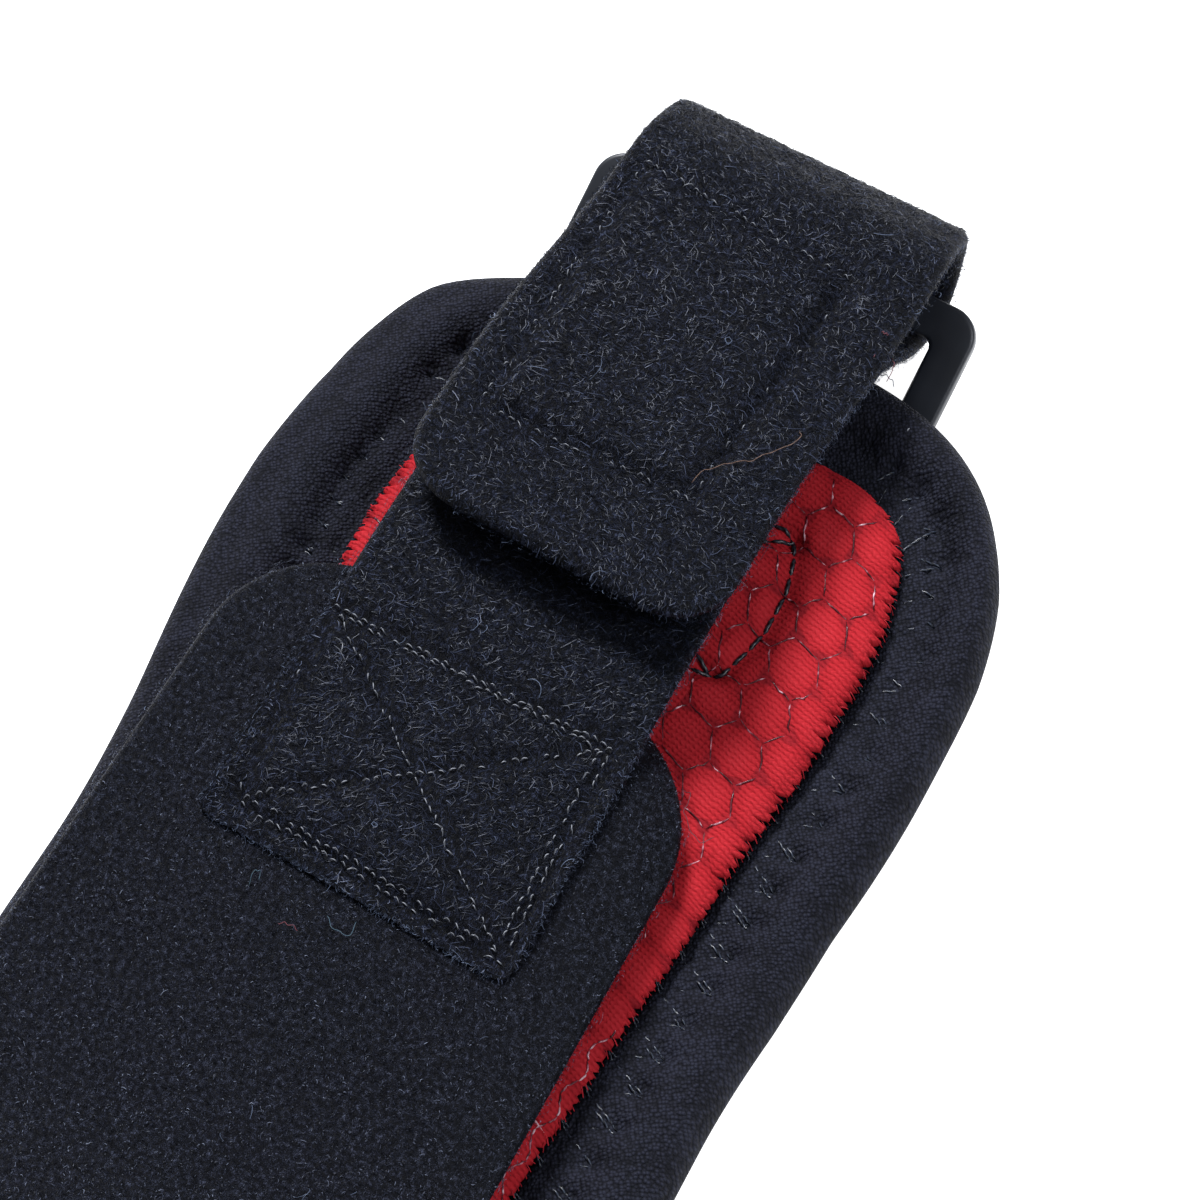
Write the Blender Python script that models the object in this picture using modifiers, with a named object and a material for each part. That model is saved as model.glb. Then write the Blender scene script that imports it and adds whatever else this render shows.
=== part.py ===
# Patellar strap lying closed and flattened, lining side up, with its ring at +X.
# The padded body runs back from the ring along the ground and bends round at -X. The wing sewn to
# its end comes back over it, and the wing's strap passes down through the ring and folds back.
# X is measured from the tip of the body's nose until everything is moved to the origin at the end.
import math

import bmesh
import bpy
from mathutils import Matrix, Vector

MM = 0.001
GAP = 0.3 * MM

# Padded body
BODY_THICKNESS = 5.2 * MM
BODY_EDGE_ROUNDING = 2.5 * MM
NOSE_WIDTH = 83.2 * MM
NOSE_REACH = 44.0 * MM
NOSE_ROUNDNESS = 2.9
NOSE_SLANT = 0.03
BAND_WIDTH = 75.2 * MM
TAPER_REACH = 45.0 * MM
LOOP_LENGTH = 186.8 * MM
BEND_RADIUS = 17.0 * MM
BACK_REACH = 52.0 * MM
BACK_AIR = 12.0 * MM
BACK_END_REACH = 22.0 * MM

# Red lining panel, let into the body's inner face
LINING_THICKNESS = 1.1 * MM
LINING_PROUD = 0.1 * MM
RIM_WIDTH = 13.3 * MM
LINING_SIDE_SHIFT = -1.6 * MM
LINING_ROUNDNESS = 4.6

# Wing, the thin velour end that is sewn on behind the bend
WING_THICKNESS = 1.9 * MM
WING_WIDTH = 56.4 * MM
WING_CORNER = 14.5 * MM
WING_SET_BACK = 51.0 * MM
WING_LAP = 25.0 * MM
WING_FALL = 27.0 * MM
WING_AIR = 7.5 * MM

# Narrow loop-pile strap, sewn on the wing
STRAP_THICKNESS = 2.2 * MM
STRAP_WIDTH = 36.0 * MM
STRAP_LAP = 33.8 * MM
STRAP_CORNER = 1.5 * MM
TAB_WIDTH = 38.0 * MM
TAB_CORNER = 8.0 * MM
TAB_LENGTH = 57.3 * MM
TAB_LIFT = 1.4 * MM
TAB_LIFT_REACH = 12.0 * MM
FOLD_REACH = 4.9 * MM
FOLD_LEAN = 2.0 * MM
FOLD_SHOULDER = 0.64
FOLD_CROWN = 0.6 * MM

# Hook patch sewn under the tab
PATCH_LENGTH = 36.0 * MM
PATCH_WIDTH = 27.0 * MM
PATCH_THICKNESS = 2.0 * MM
PATCH_CORNER = 1.5 * MM
PATCH_SET_BACK = 13.5 * MM

# Rectangular ring of flat bar
RING_LENGTH = 18.5 * MM
RING_BAR = 4.5 * MM
RING_THICKNESS = 2.2 * MM
RING_CORNER = 3.6 * MM
RING_INNER_CORNER = 1.2 * MM
RING_LIFT = 1.3 * MM
RING_SET_BACK = 0.9 * MM
RING_SIDE = -0.2 * MM
RING_PITCH = math.radians(31.0)
RING_ROLL = math.radians(2.5)
RING_YAW = math.radians(-3.0)
SLOT_ROOM = 1.75 * MM

# Webbing that holds the ring's near bar under the nose
WEBBING_THICKNESS = 1.0 * MM
SEAM_REACH = 44.0 * MM
SEAM_RAMP = 8.0
WEBBING_RISE_REACH = 11.0 * MM

# How the wing and the strap lie over the body
NOSE_ROOM = 2.0 * MM
STRAP_SIDE = 3.4 * MM
WING_ROLL = math.radians(5.5)
STRAP_ROLL = math.radians(3.0)
END_SKEW = math.radians(3.0)
DRIFT_REACH = 40.0 * MM

# Radii of the bends seen from the side
NOSE_CURL = 60.0 * MM
WING_CURL = 45.0 * MM
STRAP_CURL = 30.0 * MM
DIP_RADIUS = 7.0 * MM
FOLD_RADIUS = 4.8 * MM
WEBBING_CURL = 9.0 * MM

# Distance between rows and columns of the meshes
TIP_CUT = 0.15 * MM
LONG_STEP = 7.0 * MM
STRAP_STEP = 2.0 * MM
WEBBING_STEP = 1.4 * MM
ROUND_ROWS = 8

# Undersides of the level layers, and what follows from them
WING_LEVEL = BODY_THICKNESS + WING_AIR
STRAP_LEVEL = WING_LEVEL + WING_THICKNESS + GAP
PATCH_LEVEL = STRAP_LEVEL + STRAP_THICKNESS + GAP
TAB_LEVEL = PATCH_LEVEL + PATCH_THICKNESS + GAP
NOSE_RISE = STRAP_LEVEL - NOSE_ROOM - BODY_THICKNESS
RING_WIDTH = STRAP_WIDTH + 2 * (RING_BAR + SLOT_ROOM)
BACK_END_X = BACK_REACH - LOOP_LENGTH


def smoothstep(value, start, end):
    share = min(max((value - start) / (end - start), 0.0), 1.0)
    return share * share * (3.0 - 2.0 * share)


class Route:
    """A path in the XZ plane: straight runs joined by arcs, read by its arc length."""

    def __init__(self, corners):
        self.runs = []
        points = [Vector(corner[:2]) for corner in corners]
        at = points[0]
        for before, here, after, corner in zip(points, points[1:], points[2:], corners[1:]):
            into = (here - before).normalized()
            out = (after - here).normalized()
            turn = math.atan2(into.x * out.y - into.y * out.x, into.dot(out))
            spread = max(math.tan(abs(turn) / 2), 1e-6)
            cut = min(corner[2] * spread, (here - at).length, (after - here).length / 2)
            start = here - into * cut
            self.runs.append((at, into, (start - at).length, 0.0))
            self.runs.append((start, into, cut / spread * abs(turn), turn))
            at = here + out * cut
        last = points[-1] - at
        self.runs.append((at, last.normalized(), last.length, 0.0))
        self.length = sum(length for _, _, length, _ in self.runs)

    def at(self, distance):
        """Point and heading after a distance along the route."""
        left = distance
        for start, heading, length, turn in self.runs[:-1]:
            if left <= length:
                break
            left -= length
        else:
            start, heading, length, turn = self.runs[-1]
        if turn == 0.0 or length == 0.0:
            return start + heading * left, heading
        radius = length / turn
        angle = left / radius
        aside = Vector((-heading.y, heading.x))
        moved = heading * math.sin(angle) + aside * (1.0 - math.cos(angle))
        return start + moved * radius, heading * math.cos(angle) + aside * math.sin(angle)

    def point(self, distance, offset=0.0):
        """Point at an offset to the right of the heading."""
        place, heading = self.at(distance)
        return place + Vector((heading.y, -heading.x)) * offset


def body_route():
    """The body's outer face from the nose tip, round the bend, to its end under the wing."""
    seam_rise = 2 * (WEBBING_THICKNESS + GAP) + GAP
    bend = Vector((BEND_RADIUS - LOOP_LENGTH, BEND_RADIUS))
    end = Vector((BACK_END_X, 2 * BODY_THICKNESS + BACK_AIR))
    chord = end - bend
    slope = math.asin(BEND_RADIUS / chord.length) - math.atan2(chord.y, chord.x)
    return Route([
        (0.0, NOSE_RISE),
        (-SEAM_REACH, seam_rise, NOSE_CURL),
        (-SEAM_REACH - SEAM_RAMP * seam_rise, 0.0, NOSE_CURL),
        (-LOOP_LENGTH, 0.0, BEND_RADIUS),
        (-LOOP_LENGTH, end.y + BACK_REACH * math.tan(slope), BEND_RADIUS),
        (end.x, end.y),
    ])


def wing_route(body):
    """The wing's middle surface, from the body's back run down to its level end."""
    lift = GAP + WING_THICKNESS / 2
    first = body.point(body.length - WING_LAP, -lift)
    _, heading = body.at(body.length)
    clear = body.point(body.length, -lift) + heading * WING_THICKNESS
    level = WING_LEVEL + WING_THICKNESS / 2
    return Route([
        (first.x, first.y),
        (clear.x, clear.y, WING_CURL),
        (BACK_END_X + WING_FALL, level, WING_CURL),
        (-WING_SET_BACK, level),
    ])


def ring_bar_centre(share):
    """Centre of the near bar (share 0) or the far bar (share 1), on the ring's middle line."""
    seat = WEBBING_THICKNESS + GAP + RING_LIFT + bar_half_height()
    along = (RING_LENGTH - RING_BAR) * share
    return Vector((along * math.cos(RING_PITCH) - RING_SET_BACK, seat + along * math.sin(RING_PITCH)))


def bar_half_height():
    """Half the height that a bar of the pitched ring takes up."""
    return (RING_BAR * math.sin(RING_PITCH) + RING_THICKNESS * math.cos(RING_PITCH)) / 2


def strap_route():
    """The strap's middle surface: over the nose, under the ring's far bar and back along the top."""
    bar = ring_bar_centre(1.0)
    twist = STRAP_WIDTH / 2 * math.sin(abs(STRAP_ROLL - RING_ROLL))
    low = bar.y - bar_half_height() - GAP - twist - STRAP_THICKNESS / 2
    lower = STRAP_LEVEL + STRAP_THICKNESS / 2
    upper = TAB_LEVEL + STRAP_THICKNESS / 2
    far_edge = bar.x + RING_BAR / 2 * math.cos(RING_PITCH)
    fold = far_edge + FOLD_REACH + STRAP_THICKNESS / 2
    tab_end = far_edge - TAB_LENGTH
    return Route([
        (-WING_SET_BACK - STRAP_LAP, lower),
        (-GAP, lower, DIP_RADIUS),
        (bar.x - RING_BAR / 2 - GAP, low, DIP_RADIUS),
        (fold, low, FOLD_RADIUS),
        (fold + FOLD_LEAN, low + (upper - low) * FOLD_SHOULDER, FOLD_RADIUS),
        (bar.x, upper + FOLD_CROWN, STRAP_CURL),
        (bar.x - 2 * RING_BAR, upper, STRAP_CURL),
        (tab_end + TAB_LIFT_REACH, upper, STRAP_CURL),
        (tab_end, upper + TAB_LIFT),
    ])


def loop_route():
    """The webbing's middle surface: from the seam, round the ring's near bar and back beneath."""
    bar = ring_bar_centre(0.0)
    along = Vector((math.cos(RING_PITCH), math.sin(RING_PITCH)))
    across = Vector((-along.y, along.x))
    wrap = GAP + WEBBING_THICKNESS / 2
    half_bar = RING_BAR / 2 + wrap
    half_plate = RING_THICKNESS / 2 + wrap
    low = WEBBING_THICKNESS / 2
    high = low + WEBBING_THICKNESS + GAP
    rise = bar.x - WEBBING_RISE_REACH
    sides = [(-1, 1), (1, 1), (1, -1), (-1, -1)]
    around = [bar + along * half_bar * a + across * half_plate * b for a, b in sides]
    return Route(
        [(-SEAM_REACH, high), (rise, high, WEBBING_CURL)]
        + [(corner.x, corner.y, wrap) for corner in around]
        + [(rise, low, WEBBING_CURL), (-SEAM_REACH, low)]
    )


def settle(point):
    """Carries a point of the level wing or strap to where it lies: shifted, rolled and skewed."""
    x, y, z = point
    laid = smoothstep(x, BACK_END_X, BACK_END_X + WING_FALL)
    arriving = smoothstep(x, ring_bar_centre(1.0).x - DRIFT_REACH, ring_bar_centre(1.0).x)
    roll = laid * (WING_ROLL + (STRAP_ROLL - WING_ROLL) * arriving)
    centre = laid * STRAP_SIDE + (RING_SIDE - STRAP_SIDE) * arriving
    height = z - WING_LEVEL
    return Vector((
        x + laid * math.tan(END_SKEW) * y,
        centre + y * math.cos(roll) - height * math.sin(roll),
        WING_LEVEL + y * math.sin(roll) + height * math.cos(roll),
    ))


def corner_inset(distance, radius):
    """How far a round corner draws an edge in, at a distance from the end."""
    if distance >= radius:
        return 0.0
    return radius - math.sqrt(radius * radius - (radius - distance) ** 2)


def rounded_end(distance, reach, half_width, roundness):
    """Half-width of a superelliptic end at a distance from its tip."""
    share = 1.0 - min(max(distance / reach, 0.0), 1.0)
    return half_width * (1.0 - share ** roundness) ** (1.0 / roundness)


def body_half_width(distance, length):
    """Half-width of the body: broad nose, taper, and a rounded far end."""
    taper = smoothstep(distance, NOSE_REACH, NOSE_REACH + TAPER_REACH)
    half = (NOSE_WIDTH + (BAND_WIDTH - NOSE_WIDTH) * taper) / 2
    nose = rounded_end(distance, NOSE_REACH, half, NOSE_ROUNDNESS)
    return min(nose, rounded_end(length - distance, BACK_END_REACH, half, NOSE_ROUNDNESS))


def nose_slant(distance, y):
    """How far the nose's outline is drawn back on its +Y side and out on the other."""
    return NOSE_SLANT * y * (1.0 - smoothstep(distance, 0.0, NOSE_REACH))


def end_rows(reach, count):
    """Distances from an end, crowded towards its tip."""
    return [reach * (1.0 - math.cos(math.pi / 2 * k / count)) for k in range(count)]


def stations(length, near_end, far_end, count, step):
    """Distances along a panel, with closer rows over the ends that are round."""
    level = length - near_end - far_end
    steps = max(1, round(level / step))
    near = end_rows(near_end, count) if near_end else []
    far = end_rows(far_end, count) if far_end else []
    middle = [near_end + level * k / steps for k in range(steps + 1)]
    return near + middle + [length - distance for distance in reversed(far)]


def new_object(name, mesh, collection):
    item = bpy.data.objects.new(name, mesh)
    collection.objects.link(item)
    return item


def panel(name, collection, rows, columns, place, thickness):
    """A sheet from a grid: rows along it, columns across it, thickened evenly both ways."""
    mesh = bpy.data.meshes.new(name)
    shape = bmesh.new()
    bmesh.ops.create_grid(shape, x_segments=len(rows) - 1, y_segments=columns, size=0.5)
    for vertex in shape.verts:
        row = round((vertex.co.x + 0.5) * (len(rows) - 1))
        vertex.co = place(rows[row], 2.0 * vertex.co.y)
    shape.to_mesh(mesh)
    shape.free()
    item = new_object(name, mesh, collection)
    solid = item.modifiers.new("Thickness", "SOLIDIFY")
    solid.thickness = thickness
    solid.offset = 0.0
    solid.use_even_offset = True
    return item


def loft(name, collection, sections):
    """A closed body through rings of equally many points, capped at both ends."""
    mesh = bpy.data.meshes.new(name)
    shape = bmesh.new()
    rings = [[shape.verts.new(point) for point in section] for section in sections]
    for first, second in zip(rings, rings[1:]):
        for k in range(len(first)):
            after = (k + 1) % len(first)
            shape.faces.new((first[k], first[after], second[after], second[k]))
    shape.faces.new(list(reversed(rings[0])))
    shape.faces.new(rings[-1])
    bmesh.ops.recalc_face_normals(shape, faces=shape.faces)
    shape.to_mesh(mesh)
    shape.free()
    return new_object(name, mesh, collection)


def finish(item, colour, roughness):
    """Gives a piece its own material, and smooth shading between sharp edges."""
    material = bpy.data.materials.new(item.name)
    material.use_nodes = True
    shader = material.node_tree.nodes["Principled BSDF"]
    shader.inputs["Base Color"].default_value = (*colour, 1.0)
    shader.inputs["Roughness"].default_value = roughness
    shader.inputs["Metallic"].default_value = 0.0
    item.data.materials.append(material)
    item.data.shade_smooth()
    item.data.set_sharp_from_angle(angle=math.radians(35))


def body_section(route, distance, length):
    """Ring of points round the body: flat faces with rounded edges, thinner at the very tips."""
    half = body_half_width(distance, length)
    from_tip = min(distance, length - distance, BODY_EDGE_ROUNDING)
    fall = 1.0 - from_tip / BODY_EDGE_ROUNDING
    half_height = BODY_THICKNESS / 2 * math.sqrt(1.0 - fall * fall)
    rounding = min(BODY_EDGE_ROUNDING, half / 2)
    side = []
    for degrees in range(-90, 91, 30):
        angle = math.radians(degrees)
        side.append((half - rounding * (1.0 - math.cos(angle)), half_height * math.sin(angle)))
    ring = []
    for y, height in side + [(-y, height) for y, height in reversed(side)]:
        place = route.point(distance + nose_slant(distance, y), BODY_THICKNESS / 2 + height)
        ring.append(Vector((place.x, y, place.y)))
    return ring


def lining_panel(name, collection, spread, offset, thickness):
    """A panel on the body's inner face, its outline the body's drawn in by the rim less a spread."""
    route = body_route()
    inset = RIM_WIDTH - spread
    half = NOSE_WIDTH / 2 - inset

    def place(distance, share):
        nose = rounded_end(distance - inset, NOSE_REACH - inset, half, LINING_ROUNDNESS)
        from_end = route.length - distance - inset
        tail = rounded_end(from_end, BACK_END_REACH - inset, half, NOSE_ROUNDNESS)
        outline = body_half_width(distance, route.length) - inset
        side = share * min(outline, nose, tail) + LINING_SIDE_SHIFT
        spot = route.point(distance + nose_slant(distance, side), offset)
        return Vector((spot.x, side, spot.y))

    start = inset + TIP_CUT
    round_nose = NOSE_REACH - inset
    round_tail = BACK_END_REACH - inset
    rows = stations(route.length - 2 * start, round_nose, round_tail, ROUND_ROWS, LONG_STEP)
    return panel(name, collection, [start + row for row in rows], 6, place, thickness)


def make_body(collection, cutters):
    route = body_route()
    rows = stations(route.length, NOSE_REACH, BACK_END_REACH, ROUND_ROWS + 4, LONG_STEP)
    rows = [min(max(row, TIP_CUT), route.length - TIP_CUT) for row in rows]
    sections = [body_section(route, row, route.length) for row in rows]
    body = loft("pad_body", collection, sections)
    depth = LINING_THICKNESS - LINING_PROUD + GAP
    above = 2 * LINING_THICKNESS
    middle = BODY_THICKNESS + (above - depth) / 2
    cutter = lining_panel("lining_recess", cutters, GAP, middle, depth + above)
    cutter.hide_render = True
    cutter.display_type = "WIRE"
    cut = body.modifiers.new("Recess", "BOOLEAN")
    cut.operation = "DIFFERENCE"
    cut.solver = "EXACT"
    cut.object = cutter
    finish(body, (0.012, 0.013, 0.018), 0.9)


def make_lining(collection):
    middle = BODY_THICKNESS + LINING_PROUD - LINING_THICKNESS / 2
    lining = lining_panel("lining", collection, 0.0, middle, LINING_THICKNESS)
    finish(lining, (0.55, 0.02, 0.03), 0.8)


def make_wing(collection):
    route = wing_route(body_route())

    def place(distance, share):
        inset = corner_inset(route.length - distance, WING_CORNER)
        spot = route.point(distance)
        return settle((spot.x, share * (WING_WIDTH / 2 - inset), spot.y))

    rows = stations(route.length, 0.0, WING_CORNER, ROUND_ROWS, LONG_STEP)
    wing = panel("wing", collection, rows, 10, place, WING_THICKNESS)
    finish(wing, (0.008, 0.009, 0.013), 0.95)


def make_strap(collection):
    route = strap_route()
    widening = route.length - TAB_LENGTH

    def place(distance, share):
        from_end = route.length - distance
        inset = corner_inset(distance, STRAP_CORNER) + corner_inset(from_end, TAB_CORNER)
        tab = smoothstep(distance, widening, widening + TAB_LENGTH / 2)
        half = (STRAP_WIDTH + (TAB_WIDTH - STRAP_WIDTH) * tab) / 2
        spot = route.point(distance)
        return settle((spot.x, share * (half - inset), spot.y))

    rows = stations(route.length, STRAP_CORNER, TAB_CORNER, ROUND_ROWS, STRAP_STEP)
    strap = panel("strap", collection, rows, 6, place, STRAP_THICKNESS)
    finish(strap, (0.009, 0.010, 0.015), 0.95)


def make_patch(collection):
    bar = ring_bar_centre(1.0)
    back = bar.x + RING_BAR / 2 * math.cos(RING_PITCH) - TAB_LENGTH + PATCH_SET_BACK

    def place(distance, share):
        inset = corner_inset(min(distance, PATCH_LENGTH - distance), PATCH_CORNER)
        side = share * (PATCH_WIDTH / 2 - inset)
        return settle((back + distance, side, PATCH_LEVEL + PATCH_THICKNESS / 2))

    rows = stations(PATCH_LENGTH, PATCH_CORNER, PATCH_CORNER, ROUND_ROWS // 2, LONG_STEP)
    patch = panel("hook_patch", collection, rows, 4, place, PATCH_THICKNESS)
    finish(patch, (0.01, 0.01, 0.012), 0.7)


def rounded_rectangle(curve, length, width, radius):
    """Adds a closed outline of straight sides and quarter-circle corners to a 2D curve."""
    outline = []
    for quarter, (sx, sy) in enumerate(((1, 1), (-1, 1), (-1, -1), (1, -1))):
        for step in range(ROUND_ROWS):
            angle = math.pi / 2 * (quarter + step / (ROUND_ROWS - 1))
            x = sx * (length / 2 - radius) + radius * math.cos(angle)
            y = sy * (width / 2 - radius) + radius * math.sin(angle)
            outline.append((x, y))
    spline = curve.splines.new("POLY")
    spline.points.add(len(outline) - 1)
    for point, (x, y) in zip(spline.points, outline):
        point.co = (x, y, 0.0, 1.0)
    spline.use_cyclic_u = True


def ring_matrix():
    """Places the flat ring: pitched up from its near bar, rolled and turned a little."""
    near = ring_bar_centre(0.0)
    middle = (near + ring_bar_centre(1.0)) / 2
    aside = (middle.x - near.x) * math.tan(RING_YAW)
    turn = Matrix.Rotation(RING_YAW, 4, "Z")
    roll = Matrix.Rotation(RING_ROLL, 4, "X")
    pitch = Matrix.Rotation(-RING_PITCH, 4, "Y")
    return Matrix.Translation((middle.x, RING_SIDE - aside, middle.y)) @ turn @ roll @ pitch


def make_ring(collection):
    outline = bpy.data.curves.new("ring_outline", "CURVE")
    outline.dimensions = "2D"
    outline.fill_mode = "BOTH"
    outline.extrude = RING_THICKNESS / 2
    rounded_rectangle(outline, RING_LENGTH, RING_WIDTH, RING_CORNER)
    slot_length = RING_LENGTH - 2 * RING_BAR
    slot_width = RING_WIDTH - 2 * RING_BAR
    rounded_rectangle(outline, slot_length, slot_width, RING_INNER_CORNER)
    source = new_object("ring_outline", outline, collection)
    graph = bpy.context.evaluated_depsgraph_get()
    mesh = bpy.data.meshes.new_from_object(source.evaluated_get(graph))
    bpy.data.objects.remove(source)
    shape = bmesh.new()
    shape.from_mesh(mesh)
    bmesh.ops.remove_doubles(shape, verts=shape.verts, dist=0.01 * MM)
    shape.to_mesh(mesh)
    shape.free()
    ring = new_object("ring", mesh, collection)
    ring.matrix_world = ring_matrix()
    finish(ring, (0.012, 0.012, 0.013), 0.45)


def make_ring_loop(collection):
    route = loop_route()
    bar = ring_bar_centre(0.0)

    def place(distance, share):
        spot = route.point(distance)
        held = smoothstep(spot.x, bar.x - WEBBING_RISE_REACH, bar.x - RING_BAR / 2)
        y = share * STRAP_WIDTH / 2
        x = spot.x - y * math.tan(RING_YAW) * held
        return Vector((x, y + RING_SIDE, spot.y + y * math.sin(RING_ROLL) * held))

    rows = stations(route.length, 0.0, 0.0, ROUND_ROWS, WEBBING_STEP)
    webbing = panel("ring_loop", collection, rows, 4, place, WEBBING_THICKNESS)
    finish(webbing, (0.01, 0.01, 0.011), 0.85)


def underside_middle(collection):
    """Middle of the underside of the box round the whole part."""
    graph = bpy.context.evaluated_depsgraph_get()
    corners = []
    for item in collection.objects:
        seen = item.evaluated_get(graph)
        corners += [item.matrix_world @ vertex.co for vertex in seen.to_mesh().vertices]
        seen.to_mesh_clear()
    low = Vector([min(corner[axis] for corner in corners) for axis in range(3)])
    high = Vector([max(corner[axis] for corner in corners) for axis in range(3)])
    return Vector(((low.x + high.x) / 2, (low.y + high.y) / 2, low.z))


def main():
    for item in list(bpy.data.objects):
        bpy.data.objects.remove(item)
    collection = bpy.data.collections.new("patellar_strap")
    cutters = bpy.data.collections.new("cutters")
    bpy.context.scene.collection.children.link(collection)
    bpy.context.scene.collection.children.link(cutters)
    make_body(collection, cutters)
    make_lining(collection)
    make_wing(collection)
    make_strap(collection)
    make_patch(collection)
    make_ring(collection)
    make_ring_loop(collection)
    bpy.context.view_layer.update()
    to_origin = Matrix.Translation(-underside_middle(collection))
    for item in list(collection.objects) + list(cutters.objects):
        item.matrix_world = to_origin @ item.matrix_world


main()
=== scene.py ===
# Patellar strap, lying closed and flattened: cloth, pile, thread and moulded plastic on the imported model.
# Shapes are worked out in millimetres from the tip of the body's nose, and moved into the frame at the end.
import math

import bmesh
import bpy
import numpy as np
from mathutils import Matrix, Vector


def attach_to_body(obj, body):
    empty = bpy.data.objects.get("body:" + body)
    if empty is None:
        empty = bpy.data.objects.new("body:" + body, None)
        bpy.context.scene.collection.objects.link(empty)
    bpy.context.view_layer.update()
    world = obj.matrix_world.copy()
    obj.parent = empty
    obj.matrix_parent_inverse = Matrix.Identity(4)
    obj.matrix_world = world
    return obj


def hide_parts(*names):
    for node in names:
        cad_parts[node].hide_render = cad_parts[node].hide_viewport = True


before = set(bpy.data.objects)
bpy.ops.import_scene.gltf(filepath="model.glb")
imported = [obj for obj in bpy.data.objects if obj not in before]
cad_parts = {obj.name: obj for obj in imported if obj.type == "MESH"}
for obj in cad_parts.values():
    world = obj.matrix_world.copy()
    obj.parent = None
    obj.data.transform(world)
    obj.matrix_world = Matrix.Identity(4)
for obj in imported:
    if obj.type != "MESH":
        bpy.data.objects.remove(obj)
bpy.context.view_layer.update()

mm = 0.001
noseTipX = 82.24  # mm, where the tip of the nose lies in the frame
aimX = 48.44  # mm, where the camera's line of sight meets the ground in the frame
gap = 0.3  # mm, between pieces

# sizes in mm; rows are an end's rows and the step between the others, and shares are the columns across,
# each rounded edge's share of the half width and its columns

bodySizes = {
    "thickness": 5.2, "edge": 2.6, "noseWidth": 83.2, "noseReach": 44.0, "noseRoundness": 2.9,
    "leftRoundness": 3.3, "slant": 0.03, "bandWidth": 75.2, "taperReach": 45.0, "loopLength": 186.8,
    "bendRadius": 17.0, "backReach": 52.0, "backAir": 12.0, "backEndReach": 22.0, "noseRise": 7.7,
    "seamReach": 44.0, "seamRise": 2.9, "seamRamp": 8.0, "noseCurl": 60.0, "rowStep": 0.8, "closeTo": 138.0,
    "wideStep": 2.4, "endRows": 44, "middleShare": 0.6, "edgeShare": 0.075, "middleColumns": 13,
    "rimColumns": 25, "edgeColumns": 9,
    "leftUneven": ((0, 2, 4, 7, 9, 16, 24, 30, 38), (0, -3.0, -2.5, -0.7, -0.1, -0.8, -1.0, -0.6, 0)),
    "rightUneven": ((14, 20, 30, 38, 48, 62, 74), (0, 0.35, 0.4, 0, -0.3, -0.6, 0)),
}
outlineSizes = {"start": 0.15, "noseReach": 30.0, "tailReach": 20.0, "endRows": 40, "step": 1.2}
bodyRelief = {
    "crown": 0.85, "crownAt": 8.4, "crownSpread": 2.7, "seamDepth": 1.35, "seamReach": (2.6, 7.2),
    "crease": 0.6, "creaseSpread": 1.4, "leftShare": 0.75, "dent": 0.9, "dentAt": (17.0, 4.5),
    "dentSpread": (6.0, 2.4), "groove": 0.5, "grooveSpread": 0.8, "hole": 0.7, "holeSpread": 0.8,
    "ripple": 0.16, "rippleAt": 5.2, "rippleSpread": 1.8, "lump": 0.16, "lumpSize": 5.0, "recess": 1.1,
    "recessReach": (0.25, 0.9),
}
liningSizes = {
    "thickness": 1.1, "proud": 0.1, "rim": 13.3, "sideShift": -1.6, "roundness": 4.6, "toothPitch": 1.3,
    "toothDepth": 1.9, "toothGap": (0.16, 0.3), "teeth": 400, "nibble": 0.4, "nibbleStep": 1.7, "edge": 0.5,
    "rowStep": 0.3, "shares": (72, 0.04, 4), "closeTo": 138.0, "wideStep": 1.8, "endReach": 8.0,
    "endRows": 28, "toothSpread": (0.55, 1.45), "toothDepths": (0.45, 1.0), "toothFront": 66.0,
    "toothShift": 3.1, "toothReach": (4.0, 12.0), "overlap": 0.1, "thinnest": 0.05,
    "unevenReach": (4.0, 16.0),
    "uneven": ((14, 20, 30, 36, 44, 56, 82, 90, 98, 112, 130),
               (0.3, 0.5, 0.8, 0.7, 0.2, -0.5, -0.5, -0.9, -1.7, -2.2, -2.4)),
}
liningRelief = {
    "quilt": 0.08, "quiltEnds": (84.0, 93.0), "swell": 0.3, "swellSize": 7.0, "swellBase": 0.5,
    "edgeDip": 0.9, "edgeSpread": 1.3, "boxPull": 1.0, "boxSpread": 1.1, "crossPull": 0.7,
    "crossSpread": 0.9, "boxSwell": 0.35, "boxSwellReach": 4.0, "boxEnds": (22, 42), "boxHalf": 19,
}
edgeSizes = {
    "step": 0.8, "width": 0.1, "inside": 0.9, "out": 0.12, "steps": 4, "frontReach": 62.0, "spread": 0.08,
    "turn": (0.3, 0.4), "clumpStep": 1.1, "clumpsTo": 900.0, "widths": (0.7, 1.2), "sink": 0.02,
    "arch": 0.12, "drop": (0.35, 0.5),
}
seamSizes = {
    "pitch": 4.45, "nosePitch": 3.1, "reach": 4.7, "inside": 0.5, "thread": 0.16, "frontReach": 56.0,
    "doubled": 0.9, "doubledFront": 0.2, "longest": 8.0, "pastNose": (40.0, 70.0), "reaches": (0.88, 1.08),
    "shifts": (0.1, 0.2), "lengths": (0.3, 0.6), "points": 9,
}
netSizes = {  # the honeycomb's two steps from cell to cell and one cell, as distance along the body and side
    "stepA": (5.49, 0.66), "stepB": (-0.66, -5.34), "cell": (47.8, -27.6), "thread": 0.11,
    "chainFrom": 82.0, "chainTo": 150.0, "chainStep": 1.1, "chainInset": 1.25, "chainSway": 0.5,
    "fromEnd": 1.0, "fromEdge": 0.7, "spread": 0.07, "lifts": (-0.08, 0.1), "points": 5,
}
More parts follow.
